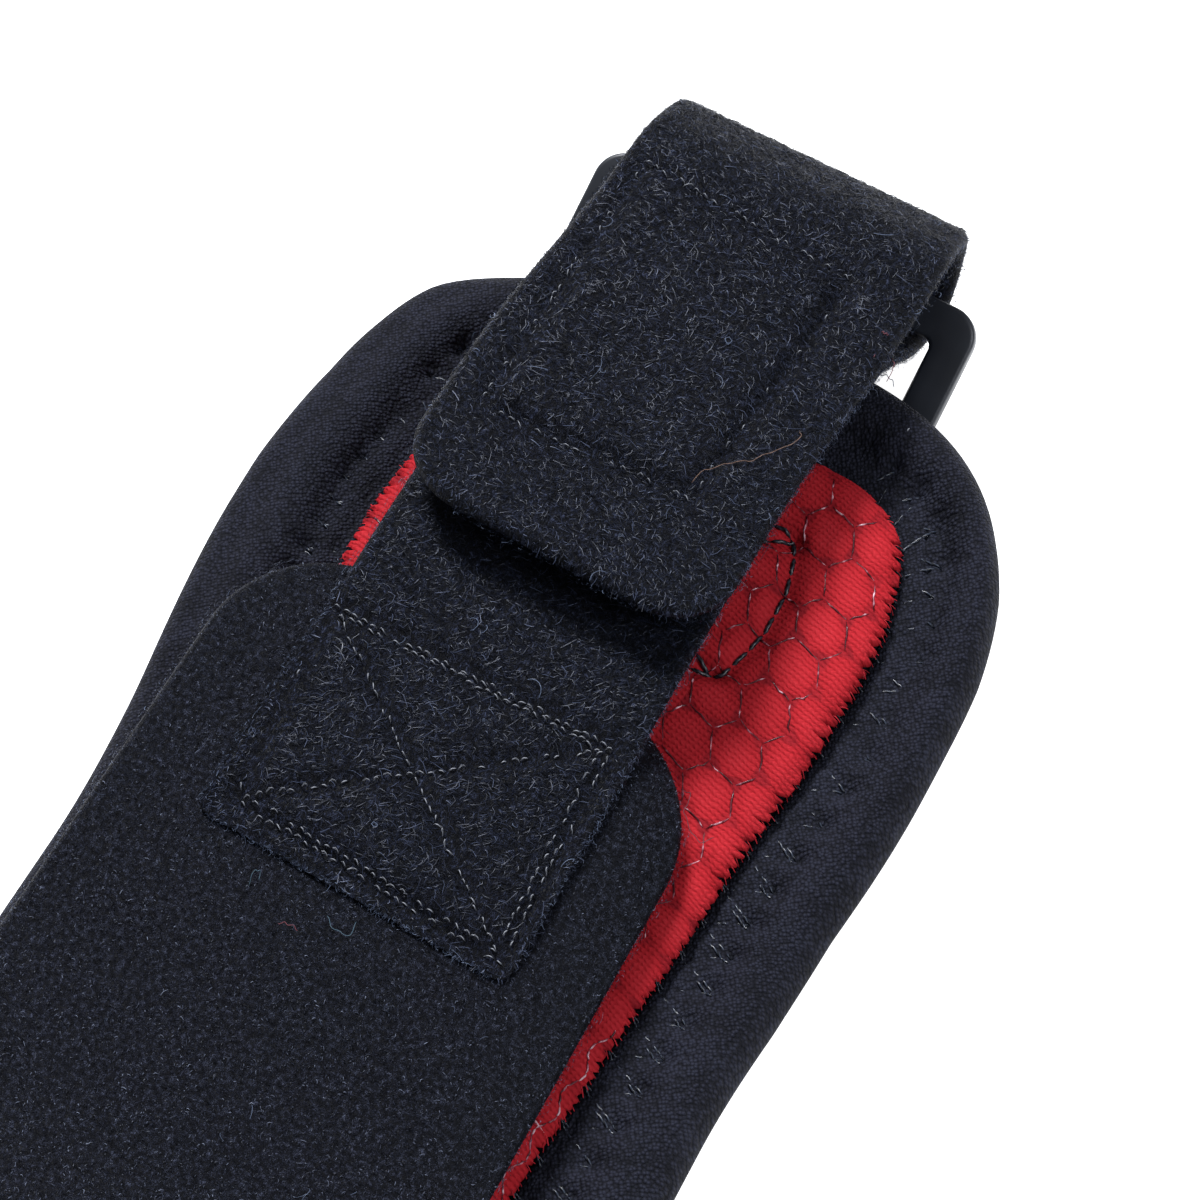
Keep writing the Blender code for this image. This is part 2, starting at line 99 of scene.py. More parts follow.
wingSizes = {
    "thickness": 1.9, "width": 56.4, "corner": 14.5, "setBack": 51.0, "lap": 25.0, "fall": 27.0,
    "level": 12.7, "curl": 45.0, "freeFrom": 4.0, "drawn": 0.055, "drawnReach": (0.2, 1.0), "hang": 2.6,
    "hangReach": (0.64, 1.05), "hangPower": 1.3, "edge": 0.9, "sewnEnd": 1.5, "rows": (14, 1.0),
    "shares": (60, 0.05, 5),
}
strapSizes = {
    "thickness": 2.2, "width": 36.0, "lap": 33.8, "corner": 1.5, "tabWidth": 38.0, "tabCorner": 8.0,
    "tabLength": 57.3, "tabLift": 1.4, "liftReach": 12.0, "foldReach": 4.9, "foldLean": 2.0,
    "foldShoulder": 0.64, "foldCrown": 0.6, "curl": 30.0, "dip": 7.0, "foldRadius": 4.8, "level": 14.9,
    "tabLevel": 19.7, "edge": 1.1, "bulge": 1.0, "bulgeBefore": 20.0, "bulgeSpread": 6.0, "lapPressed": 0.55,
    "endPressed": 0.45, "endReach": 6.0, "lapEase": 6.0, "widenBefore": 24.0, "widenAfter": 8.0,
    "rows": (12, 0.75), "shares": (48, 0.06, 5),
}
strapRelief = {
    "boxDepth": 0.6, "boxSpread": 0.9, "lapFlat": 0.45, "endFlat": 0.4, "patchRise": 0.6, "patchReach": 2.6,
    "patchDepth": 0.45, "patchSpread": 1.0, "soft": 0.2, "softSize": 6.0, "tabEase": 6.0,
}
patchSizes = {
    "length": 36.0, "width": 27.0, "thickness": 2.0, "corner": 1.5, "setBack": 13.5, "level": 17.4,
    "edge": 0.5, "rows": (6, 1.5), "shares": (24, 0.06, 3),
}
ringSizes = {
    "length": 18.5, "width": 48.5, "bar": 4.5, "thickness": 2.2, "corner": 3.6, "innerCorner": 1.2,
    "lift": 1.3, "setBack": 0.9, "side": 0.5, "pitch": math.radians(31.0), "roll": math.radians(2.5),
    "yaw": math.radians(-3.0), "edge": 0.5,
}
webbingSizes = {
    "thickness": 1.0, "width": 36.0, "riseReach": 11.0, "curl": 9.0, "edge": 0.5, "rows": (3, 0.7),
    "shares": (24, 0.05, 4),
}
laySizes = {
    "side": 3.4, "wingRoll": math.radians(5.5), "strapRoll": math.radians(3.0), "skew": math.radians(3.0),
    "driftReach": 40.0,
}
# loop and velour pile; the last setting lightens fibres near the cloth's edges as painted sheen
loopPile = {
    "length": 1.15, "height": 0.24, "width": 0.048, "curl": 0.5, "spread": 0.36, "flow": -1.4, "stray": 0.25,
    "roll": 0.5, "sink": 0.08, "steps": 3, "darkness": 1.3, "paintedEdgeSheen": 0.7,
}
velourPile = {
    "length": 0.28, "height": 0.24, "width": 0.055, "curl": 0.5, "spread": 1.0, "flow": 0.4, "stray": 0.9,
    "roll": 0.6, "sink": 0.05, "steps": 3, "darkness": 1.1, "paintedEdgeSheen": 0.4,
}
strayPile = dict(loopPile, length=2.0, height=0.8, width=0.045, curl=0.8, steps=7, spread=1.6, darkness=1.0)
shortStray = dict(strayPile, length=1.3)
fibreSizes = {
    "lengthSpread": 0.35, "heights": (0.3, 1.3), "widths": (0.7, 1.3), "shortReach": 1.6, "shortest": 0.45,
    "paintedSheenReach": 0.7, "flowSize": 6.0, "arch": 0.85,
}
fringeSizes = {
    "width": 0.045, "widths": (0.6, 1.2), "lengthSpread": 0.45, "turn": 1.0, "rise": (0.3, 0.6), "curl": 0.8,
    "roll": 0.5, "rootHeight": 0.8, "rootDepth": 0.6, "steps": 5, "droop": 0.3,
}
shownSizes = {  # reaches of pile and seam from the strap's lap, and the wing's part under the strap
    "start": 0.3, "seam": 12.0, "lower": 62.0, "upper": 50.0, "wingEnd": 33.0, "wingHalf": 17.0,
    "hiddenLower": 0.02, "hiddenUpper": 0.05, "hiddenWing": 0.08, "seamBare": 0.95, "seamSpread": 1.1,
}
stitchSizes = {
    "pitch": 0.9, "steps": 5, "shiver": 0.11, "tilt": 0.3, "sink": 0.05, "fadeSize": 5.0,
    "heights": (0.3, 1.1), "lengths": (0.9, 1.5), "doubleInset": 1.25, "lapBeyond": 14.0, "tabBefore": 8.0,
}
backEndX = bodySizes["backReach"] - bodySizes["loopLength"]

# places seen from above, as distance along the body and side: the X-box that holds the ring's webbing
boxSeam = np.array([
    (22.7, 13.5), (22.4, 0.0), (22.5, -15.6), (23.4, -16.9), (25.4, -17.9), (29.5, -18.9), (34.4, -18.9),
    (37.5, -18.2), (41.2, -16.9), (41.6, -14.4), (41.9, 0.0), (41.6, 15.6), (22.7, 13.5),
])
boxCross = [np.array([(23.4, -16.9), (41.4, 15.2)]), np.array([(41.3, -15.6), (23.2, 13.2)])]

# and as x and y in the frame: the X-box on the wing, and the seam of the hook patch
wingBox = (aimX, 0.0) + np.array([
    (-23.1, 20.3), (-23.8, -12.3), (-50.1, -13.4), (-47.4, 18.1), (-23.1, 20.3)])
wingCross = [wingBox[[0, 2]], wingBox[[1, 3]]]
patchBox = (aimX, 0.0) + np.array([(40.8, 16.4), (37.3, -10.6), (3.4, -7.5), (3.0, 17.0), (40.8, 16.4)])


def smoothstep(value, start, end):
    share = np.clip((value - start) / (end - start), 0.0, 1.0)
    return share * share * (3.0 - 2.0 * share)


def bell(value, spread):
    return np.exp(-(value / spread) ** 2)


def unit(vectors):
    return vectors / (np.linalg.norm(vectors, axis=-1, keepdims=True) + 1e-12)


def roundedEdge(away, radius):
    # share of the full height at a distance from a rounded edge
    return np.sqrt(1.0 - (1.0 - np.clip(away / radius, 0.0, 1.0)) ** 2)


def wander(first, second, size, seed):
    # smooth unevenness between about -1 and 1, from a few crossed waves
    source = np.random.default_rng(seed)
    total = 0.0
    for _ in range(6):
        angle = source.uniform(0, 2 * math.pi)
        rate = source.uniform(0.6, 1.6)
        total = total + np.sin(rate * (first / size * math.cos(angle) + second / size * math.sin(angle))
                               + source.uniform(0, 2 * math.pi))
    return total / 3.0


def routeThrough(corners):
    # straight runs joined by arcs in the XZ plane, each kept as start, heading, length and turn
    runs = []
    points = [Vector(corner[:2]) for corner in corners]
    at = points[0]
    for before, here, after, corner in zip(points, points[1:], points[2:], corners[1:]):
        into = (here - before).normalized()
        out = (after - here).normalized()
        turn = math.atan2(into.x * out.y - into.y * out.x, into.dot(out))
        spread = max(math.tan(abs(turn) / 2), 1e-6)
        cut = min(corner[2] * spread, (here - at).length, (after - here).length / 2)
        start = here - into * cut
        heading = math.atan2(into.y, into.x)
        runs.append((at.x, at.y, heading, (start - at).length, 0.0))
        if abs(turn) > 1e-6:
            runs.append((start.x, start.y, heading, cut / spread * abs(turn), turn))
        at = here + out * cut
    last = points[-1] - at
    runs.append((at.x, at.y, math.atan2(last.y, last.x), last.length, 0.0))
    runs = np.array([run for run in runs if run[3] > 1e-6])
    return {"runs": runs, "from": np.cumsum(runs[:, 3]) - runs[:, 3], "length": runs[:, 3].sum()}


def onRoute(route, distance, offset=0.0):
    # x and z at a distance along the route, offset to the right of the heading
    distance = np.asarray(distance, float)
    which = np.clip(np.searchsorted(route["from"], distance, side="right") - 1, 0, len(route["from"]) - 1)
    startX, startZ, heading, length, turn = np.moveaxis(route["runs"][which], -1, 0)
    left = distance - route["from"][which]
    curved = turn != 0.0
    radius = np.where(curved, length / np.where(curved, turn, 1.0), 1.0)
    angle = np.where(curved, left / radius, 0.0)
    ahead = np.where(curved, radius * np.sin(angle), left)
    aside = np.where(curved, radius * (1.0 - np.cos(angle)), 0.0)
    now = heading + angle
    x = startX + np.cos(heading) * ahead - np.sin(heading) * aside + np.sin(now) * offset
    z = startZ + np.sin(heading) * ahead + np.cos(heading) * aside - np.cos(now) * offset
    return x, z


def bodyRoute():
    size = bodySizes
    bend = Vector((size["bendRadius"] - size["loopLength"], size["bendRadius"]))
    end = Vector((backEndX, 2 * size["thickness"] + size["backAir"]))
    chord = end - bend
    slope = math.asin(size["bendRadius"] / chord.length) - math.atan2(chord.y, chord.x)
    return routeThrough([
        (0.0, size["noseRise"]),
        (-size["seamReach"], size["seamRise"], size["noseCurl"]),
        (-size["seamReach"] - size["seamRamp"] * size["seamRise"], 0.0, size["noseCurl"]),
        (-size["loopLength"], 0.0, size["bendRadius"]),
        (-size["loopLength"], end.y + size["backReach"] * math.tan(slope), size["bendRadius"]),
        (end.x, end.y),
    ])


def barHalfHeight():
    size = ringSizes
    return (size["bar"] * math.sin(size["pitch"]) + size["thickness"] * math.cos(size["pitch"])) / 2


def barCentre(share):
    # middle of the ring's near bar at 0, of its far bar at 1
    size = ringSizes
    seat = webbingSizes["thickness"] + gap + size["lift"] + barHalfHeight()
    along = (size["length"] - size["bar"]) * share
    x = along * math.cos(size["pitch"]) - size["setBack"]
    return Vector((x, seat + along * math.sin(size["pitch"])))


def wingRoute():
    size = wingSizes
    lift = gap + size["thickness"] / 2
    first = onRoute(body, bodyLength - size["lap"], -lift)
    clear = onRoute(body, bodyLength + size["thickness"], -lift)
    level = size["level"] + size["thickness"] / 2
    return routeThrough([
        (float(first[0]), float(first[1])),
        (float(clear[0]), float(clear[1]), size["curl"]),
        (backEndX + size["fall"], level, size["curl"]),
        (-size["setBack"], level),
    ])


def strapRoute():
    size = strapSizes
    bar = barCentre(1.0)
    twist = size["width"] / 2 * math.sin(abs(laySizes["strapRoll"] - ringSizes["roll"]))
    low = bar.y - barHalfHeight() - gap - twist - size["thickness"] / 2
    lower = size["level"] + size["thickness"] / 2
    upper = size["tabLevel"] + size["thickness"] / 2
    farEdge = bar.x + ringSizes["bar"] / 2 * math.cos(ringSizes["pitch"])
    fold = farEdge + size["foldReach"] + size["thickness"] / 2
    tabEnd = farEdge - size["tabLength"]
    return routeThrough([
        (-wingSizes["setBack"] - size["lap"], lower),
        (-gap, lower, size["dip"]),
        (bar.x - ringSizes["bar"] / 2 - gap, low, size["dip"]),
        (fold, low, size["foldRadius"]),
        (fold + size["foldLean"], low + (upper - low) * size["foldShoulder"], size["foldRadius"]),
        (bar.x, upper + size["foldCrown"], size["curl"]),
        (bar.x - 2 * ringSizes["bar"], upper, size["curl"]),
        (tabEnd + size["liftReach"], upper, size["curl"]),
        (tabEnd, upper + size["tabLift"]),
    ])


def webbingRoute():
    bar = barCentre(0.0)
    along = Vector((math.cos(ringSizes["pitch"]), math.sin(ringSizes["pitch"])))
    across = Vector((-along.y, along.x))
    wrap = gap + webbingSizes["thickness"] / 2
    halfBar = ringSizes["bar"] / 2 + wrap
    halfPlate = ringSizes["thickness"] / 2 + wrap
    low = webbingSizes["thickness"] / 2
    high = low + webbingSizes["thickness"] + gap
    rise = bar.x - webbingSizes["riseReach"]
    corners = [(-bodySizes["seamReach"], high), (rise, high, webbingSizes["curl"])]
    for a, b in ((-1, 1), (1, 1), (1, -1), (-1, -1)):
        corner = bar + along * halfBar * a + across * halfPlate * b
        corners.append((corner.x, corner.y, wrap))
    return routeThrough(corners + [(rise, low, webbingSizes["curl"]), (-bodySizes["seamReach"], low)])


body = bodyRoute()
bodyLength = body["length"]
wing = wingRoute()
strap = strapRoute()
webbing = webbingRoute()
widening = strap["length"] - strapSizes["tabLength"]


def settle(x, y, z):
    # carries the level wing or strap to where it lies: shifted, rolled and skewed
    bar = barCentre(1.0).x
    laid = smoothstep(x, backEndX, backEndX + wingSizes["fall"])
    arriving = smoothstep(x, bar - laySizes["driftReach"], bar)
    roll = laid * (laySizes["wingRoll"] + (laySizes["strapRoll"] - laySizes["wingRoll"]) * arriving)
    centre = laid * laySizes["side"] + (ringSizes["side"] - laySizes["side"]) * arriving
    height = z - wingSizes["level"]
    return np.stack([
        x + laid * math.tan(laySizes["skew"]) * y,
        centre + y * np.cos(roll) - height * np.sin(roll),
        wingSizes["level"] + y * np.sin(roll) + height * np.cos(roll),
    ], -1)


def cornerInset(distance, radius):
    inside = np.clip(radius - distance, 0.0, radius)
    return radius - np.sqrt(radius * radius - inside * inside)


def roundedEnd(distance, reach, half, roundness):
    share = 1.0 - np.clip(distance / reach, 0.0, 1.0)
    return half * (1.0 - share ** roundness) ** (1.0 / roundness)


def endRows(reach, count):
    return reach * (1.0 - np.cos(np.pi / 2 * np.arange(count) / count))


def stations(length, nearEnd, farEnd, count, step):
    level = length - nearEnd - farEnd
    middle = nearEnd + level * np.linspace(0.0, 1.0, max(1, round(level / step)) + 1)
    return np.concatenate([endRows(nearEnd, count), middle, length - endRows(farEnd, count)[::-1]])


def zonedStations(length, nearEnd, farEnd, count, step, closeTo, wide):
    # close rows as far as the visible part goes, wider ones after it
    near = nearEnd + (closeTo - nearEnd) * np.linspace(0.0, 1.0, round((closeTo - nearEnd) / step) + 1)
    rest = length - farEnd - closeTo
    far = closeTo + rest * np.linspace(0.0, 1.0, round(rest / wide) + 1)[1:]
    return np.concatenate([endRows(nearEnd, count), near, far, length - endRows(farEnd, count)[::-1]])


def crowdedShares(columns, edgeShare, edgeColumns):
    # from -1 to 1 across a panel, with closer columns over the rounded edges
    edge = 1.0 - edgeShare * (1.0 - np.cos(np.pi / 2 * np.linspace(0.0, 1.0, edgeColumns + 1)[:-1]))
    middle = np.linspace(-(1.0 - edgeShare), 1.0 - edgeShare, columns - 2 * edgeColumns + 1)
    return np.concatenate([-edge, middle, edge[::-1]])


def bodyHalf(distance, way):
    # half width toward +Y or -Y, with the cloth's own unevenness
    size = bodySizes
    taper = smoothstep(distance, size["noseReach"], size["noseReach"] + size["taperReach"])
    half = (size["noseWidth"] + (size["bandWidth"] - size["noseWidth"]) * taper) / 2
    left = roundedEnd(distance, size["noseReach"], half, size["leftRoundness"]) \
        + np.interp(distance, *size["leftUneven"])
    right = roundedEnd(distance, size["noseReach"], half, size["noseRoundness"]) \
        + np.interp(distance, *size["rightUneven"])
    tail = roundedEnd(bodyLength - distance, size["backEndReach"], half, size["noseRoundness"])
    return np.minimum(np.where(way > 0, left, right), tail)


def liningHalf(distance, way):
    inset = liningSizes["rim"]
    half = bodySizes["noseWidth"] / 2 - inset
    nose = roundedEnd(distance - inset, bodySizes["noseReach"] - inset, half, liningSizes["roundness"])
    tail = roundedEnd(bodyLength - distance - inset, bodySizes["backEndReach"] - inset, half,
                      bodySizes["noseRoundness"])
    uneven = np.where(way > 0, 0.0, np.interp(distance, *liningSizes["uneven"]))
    inner = np.minimum(np.minimum(bodyHalf(distance, way) - inset, nose), tail)
    return np.maximum(inner + uneven * smoothstep(inner, *liningSizes["unevenReach"]), 0.0)


def closedOutline(points):
    # outline with the steps between its points, and how far round each of them is
    step = np.roll(points, -1, 0) - points
    points = points[(step ** 2).sum(1) > 1e-8]
    step = np.roll(points, -1, 0) - points
    length = np.sqrt((step ** 2).sum(1))
    return {"points": points, "step": step, "length": length, "from": np.cumsum(length) - length}


def outlineOf(halfAt, start, shift):
    # in distance along the body and side, from the nose round by +Y to the tail and back
    size = outlineSizes
    rows = start + stations(bodyLength - 2 * start, size["noseReach"], size["tailReach"], size["endRows"],
                            size["step"])
    left = np.stack([rows, shift + halfAt(rows, 1)], 1)
    right = np.stack([rows, shift - halfAt(rows, -1)], 1)
    return closedOutline(np.concatenate([left, right[::-1]]))


def nearestOn(outline, distance, side):
    # distance to the outline, and how far round it the nearest place is
    spots = np.stack([np.ravel(distance), np.ravel(side)], 1)
    away = np.empty(len(spots))
    around = np.empty(len(spots))
    step = outline["step"]
    square = outline["length"] ** 2
    chunk = 2000
    for first in range(0, len(spots), chunk):
        reach = spots[first:first + chunk, None, :] - outline["points"][None]
        share = np.clip((reach[:, :, 0] * step[:, 0] + reach[:, :, 1] * step[:, 1]) / square, 0.0, 1.0)
        off = reach - step * share[:, :, None]
        apart = off[:, :, 0] ** 2 + off[:, :, 1] ** 2
        best = apart.argmin(1)
        rows = np.arange(len(best))
        away[first:first + chunk] = np.sqrt(apart[rows, best])
        around[first:first + chunk] = outline["from"][best] + share[rows, best] * outline["length"][best]
    return away.reshape(np.shape(distance)), around.reshape(np.shape(distance))


def onOutline(outline, around):
    # places a way round an outline, and the angle outward from them
    which = np.clip(np.searchsorted(outline["from"], around, side="right") - 1, 0, None)
    step = outline["step"][which]
    share = (around - outline["from"][which]) / outline["length"][which]
    return outline["points"][which] + step * share[:, None], np.arctan2(step[:, 1], step[:, 0]) + math.pi / 2


bodyOutline = outlineOf(bodyHalf, outlineSizes["start"], 0.0)
liningOutline = outlineOf(liningHalf, liningSizes["rim"] + outlineSizes["start"], liningSizes["sideShift"])
liningRound = liningOutline["length"].sum()


def seamNodes():
    # where the zigzag's needle goes in, with closer stitches round the nose
    size = seamSizes
    nodes = [0.0]
    while nodes[-1] < liningRound:
        fromNose = min(nodes[-1], liningRound - nodes[-1])
        pastNose = float(smoothstep(fromNose, *size["pastNose"]))
        pitch = size["nosePitch"] + (size["pitch"] - size["nosePitch"]) * pastNose
        nodes.append(nodes[-1] + pitch / 2)
    return np.array(nodes[:-1])


seamAt = seamNodes()
netSteps = np.array([netSizes["stepA"], netSizes["stepB"]]).T
netBack = np.linalg.inv(netSteps)


def fromPath(path, first, second):
    # distance from every point to an open path
    best = np.full(np.shape(first), 1e9)
    for start, end in zip(path[:-1], path[1:]):
        step = end - start
        share = ((first - start[0]) * step[0] + (second - start[1]) * step[1]) / (step @ step)
        share = np.clip(share, 0.0, 1.0)
        apart = np.hypot(first - start[0] - share * step[0], second - start[1] - share * step[1])
        best = np.minimum(best, apart)
    return best


def fromPaths(paths, first, second):
    return np.min([fromPath(path, first, second) for path in paths], axis=0)


def insideOf(box, first, second):
    # whether a point lies inside a closed box with its corners in one turn's order
    sides = [(end[0] - start[0]) * (second - start[1]) - (end[1] - start[1]) * (first - start[0])
             for start, end in zip(box[:-1], box[1:])]
    return (np.max(sides, axis=0) < 0.0) | (np.min(sides, axis=0) > 0.0)


def bodyTop(distance, side):
    # height of the body's inner face over its outer one: rounded rim, sunk seam, recess under the lining
    form = bodyRelief
    fromEdge, _ = nearestOn(bodyOutline, distance, side)
    away, around = nearestOn(liningOutline, distance, side)
    across = side - liningSizes["sideShift"]
    inside = np.abs(across) < liningHalf(distance, across)
    out = np.where(inside, 0.0, away)
    edge = roundedEdge(fromEdge, bodySizes["edge"])
    crown = form["crown"] * bell(out - form["crownAt"], form["crownSpread"])
    valley = form["seamDepth"] * (1.0 - smoothstep(out, *form["seamReach"]))
    valley = valley + form["crease"] * bell(out, form["creaseSpread"])
    valley = valley * np.where(side > 0.0, form["leftShare"], 1.0)
    dent = bell(distance - form["dentAt"][0], form["dentSpread"][0]) \
        * bell(out - form["dentAt"][1], form["dentSpread"][1])
    valley = valley + form["dent"] * dent * (side < 0.0)
    phase = np.interp(around, seamAt, np.arange(len(seamAt)) * math.pi)
    leg = seamSizes["reach"] * np.abs((phase / math.pi + 1.0) % 2.0 - 1.0)
    groove = form["groove"] * bell(out - leg, form["grooveSpread"]) * (out < seamSizes["reach"] + 1.0)
    hole = form["hole"] * (0.5 - 0.5 * np.cos(phase)) ** 2
    hole = hole * bell(out - seamSizes["reach"], form["holeSpread"])
    ripple = form["ripple"] * np.cos(phase) * bell(out - form["rippleAt"], form["rippleSpread"])
    lumps = form["lump"] * wander(distance, side, form["lumpSize"], 3)
    relief = crown - valley - groove - hole + ripple + lumps
    top = bodySizes["thickness"] / 2 * (1.0 + edge) + edge * relief
    return top - form["recess"] * smoothstep(np.where(inside, away, 0.0), *form["recessReach"])


def liningTop(distance, side):
    # height of the lining over the body's outer face: quilted by the net, pulled in at the seams
    form = liningRelief
    away, _ = nearestOn(liningOutline, distance, side)
    u, v = np.tensordot(netBack, np.stack([distance - netSizes["cell"][0], side - netSizes["cell"][1]]), 1)
    cells = np.cos(2 * np.pi * u) + np.cos(2 * np.pi * v) + np.cos(2 * np.pi * (u - v))
    quilt = form["quilt"] * np.clip((cells + 1.5) / 3.5, 0.0, 1.0) ** 0.7
    quilt = quilt * (1.0 - smoothstep(distance, *form["quiltEnds"]))
    box = fromPath(boxSeam, distance, side)
    cross = fromPaths(boxCross, distance, side)
    pull = form["boxPull"] * bell(box, form["boxSpread"]) \
        + form["crossPull"] * bell(cross, form["crossSpread"]) * (box > 0.0)
    boxStart, boxEnd = form["boxEnds"]
    inBox = (distance > boxStart) & (distance < boxEnd) & (np.abs(side) < form["boxHalf"])
    swell = form["swell"] * wander(distance, side, form["swellSize"], 5) + form["swellBase"]
    swell = swell + inBox * form["boxSwell"] * np.clip(box / form["boxSwellReach"], 0.0, 1.0)
    dip = form["edgeDip"] * bell(away, form["edgeSpread"])
    return bodySizes["thickness"] + liningSizes["proud"] + quilt + swell - dip - pull


def onBody(distance, side, height):
    slant = bodySizes["slant"] * side * (1.0 - smoothstep(distance, 0.0, bodySizes["noseReach"]))
    x, z = onRoute(body, distance + slant, height)
    return np.stack([x, side + 0.0 * x, z], -1)


def overLining(paths):
    # paths of distance along the body, side and height over the lining, in space
    distance, side, lift = np.moveaxis(np.array(paths), -1, 0)
    return onBody(distance, side, liningTop(distance, side) + lift)


def toFrame(points):
    return (np.asarray(points) + (noseTipX, 0.0, 0.0)) * mm


def newObject(name, data):
    item = bpy.data.objects.new(name, data)
    bpy.context.scene.collection.objects.link(item)
    return item


trimmings = {}


def attach(piece, slot, replaces=False):
    # every piece rides on the one body; it stands for the slot's CAD node, or trims the piece that does
    if replaces:
        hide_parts(slot)
    else:
        trimmings.setdefault(slot, []).append(piece)
    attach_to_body(piece, "root")
    return piece


def shell(name, faces, material):
    # closed skin from grids of points: one grid for each face, sewn along their common borders
    shape = bmesh.new()
    cloth = shape.loops.layers.uv.new("cloth")
    for points, lay in faces:
        rows, columns = points.shape[:2]
        placed = toFrame(points).tolist()
        made = bmesh.ops.create_grid(shape, x_segments=rows - 1, y_segments=columns - 1, size=0.5)
        lies = {}
        for vertex in made["verts"]:
            row = round((vertex.co.x + 0.5) * (rows - 1))
            column = round((vertex.co.y + 0.5) * (columns - 1))
            vertex.co = placed[row][column]
            lies[vertex] = (lay[0][row][column] * mm, lay[1][row][column] * mm)
        for face in {face for vertex in made["verts"] for face in vertex.link_faces}:
            for loop in face.loops:
                loop[cloth].uv = lies[loop.vert]
    bmesh.ops.remove_doubles(shape, verts=shape.verts, dist=0.004 * mm)
    bmesh.ops.dissolve_degenerate(shape, edges=shape.edges, dist=0.002 * mm)
    bmesh.ops.recalc_face_normals(shape, faces=shape.faces)
    for face in shape.faces:
        face.smooth = True
    mesh = bpy.data.meshes.new(name)
    shape.to_mesh(mesh)
    shape.free()
    mesh.materials.append(material)
    return newObject(name, mesh)


def gridNormals(points):
    return unit(np.cross(np.gradient(points, axis=0), np.gradient(points, axis=1)))


def slab(rows, shares, place, size, upperRelief=None, lowerRelief=None):
    # a flat piece of cloth with rounded edges: grids of its two faces and their lay
    distance, share = np.meshgrid(rows, shares, indexing="ij")
    middle, side = place(distance, share)
    normal = gridNormals(middle)
    flat = np.stack([distance, side], -1)
    away, _ = nearestOn(closedOutline(np.concatenate([
        flat[:, 0], flat[-1, 1:], flat[::-1, -1][1:], flat[0, ::-1][1:-1]])), distance, side)
    edge = roundedEdge(away, size["edge"])
    edge[[0, -1]] = 0.0
    edge[:, [0, -1]] = 0.0
    up = (size["thickness"] / 2 + (upperRelief(distance, side) if upperRelief else 0.0)) * edge
    down = (size["thickness"] / 2 + (lowerRelief(distance, side) if lowerRelief else 0.0)) * edge
    return {"upper": middle + normal * up[..., None], "lower": middle - normal * down[..., None],
            "lay": (distance, side), "away": away}


def clothPiece(name, node, cloth, material):
    piece = shell(name, [(cloth["upper"], cloth["lay"]), (cloth["lower"], cloth["lay"])], material)
    return attach(piece, node, replaces=True)


def colour(code):
    # sRGB hex to linear
    parts = [int(code[k:k + 2], 16) / 255.0 for k in (1, 3, 5)]
    return tuple(p / 12.92 if p <= 0.04045 else ((p + 0.055) / 1.055) ** 2.4 for p in parts) + (1.0,)


def addNode(tree, kind, inputs=None, **settings):
    # one node with its settings; an input is a value, or the output that it is linked to
    node = tree.nodes.new("ShaderNode" + kind)
    for name, value in settings.items():
        setattr(node, name, value)
    for name, value in (inputs or {}).items():
        if isinstance(value, bpy.types.NodeSocket):
            tree.links.new(value, node.inputs[name])
        else:
            node.inputs[name].default_value = value
    return node


def newMaterial(name, **sockets):
    material = bpy.data.materials.new(name)
    material.use_nodes = True
    shader = material.node_tree.nodes["Principled BSDF"]
    for socket, value in sockets.items():
        shader.inputs[socket.replace("_", " ")].default_value = value
    return material, material.node_tree, shader


def layer(tree, name):
    return addNode(tree, "UVMap", uv_map=name).outputs["UV"]


def split(tree, vector):
    return addNode(tree, "SeparateXYZ", {0: vector}).outputs


def turned(tree, vector, angle, scale=(1.0, 1.0, 1.0)):
    inputs = {"Vector": vector, "Rotation": (0.0, 0.0, angle), "Scale": scale}
    return addNode(tree, "Mapping", inputs).outputs[0]


def noise(tree, vector, scale, detail, distortion=0.0, output="Fac"):
    inputs = {"Vector": vector, "Scale": scale, "Detail": detail, "Distortion": distortion}
    return addNode(tree, "TexNoise", inputs).outputs[output]


def bent(tree, vector, scale, detail, reach):
    # places moved about a little, reach in mm
    shift = noise(tree, vector, scale, detail, output="Color")
    inputs = {0: shift, 1: (reach * mm, reach * mm, 0.0), 2: vector}
    return addNode(tree, "VectorMath", inputs, operation="MULTIPLY_ADD").outputs[0]


def calc(tree, operation, first, second=0.0, third=0.0):
    return addNode(tree, "Math", {0: first, 1: second, 2: third}, operation=operation).outputs[0]


def scaled(tree, value, factor, plus=0.0):
    return calc(tree, "MULTIPLY_ADD", value, factor, plus)


def ranged(tree, value, fromMin, fromMax, toMin, toMax, kind="LINEAR"):
    inputs = {"Value": value, "From Min": fromMin, "From Max": fromMax, "To Min": toMin, "To Max": toMax}
    return addNode(tree, "MapRange", inputs, interpolation_type=kind).outputs[0]


def ramp(tree, value, stops):
    # colours from (place, hex) pairs
    made = addNode(tree, "ValToRGB", {"Fac": value})
    elements = made.color_ramp.elements
    while len(elements) < len(stops):
        elements.new(0.5)
    for element, (at, code) in zip(elements, stops):
        element.position = at
        element.color = colour(code)
    return made.outputs["Color"]


def dress(tree, shader, tone, relief=None, strength=0.0, depth=0.0, **settings):
    # the shader's colour, and its relief with a depth in mm
    tree.links.new(tone, shader.inputs["Base Color"])
    if relief:
        inputs = {"Height": relief, "Strength": strength, "Distance": depth * mm}
        tree.links.new(addNode(tree, "Bump", inputs, **settings).outputs[0], shader.inputs["Normal"])


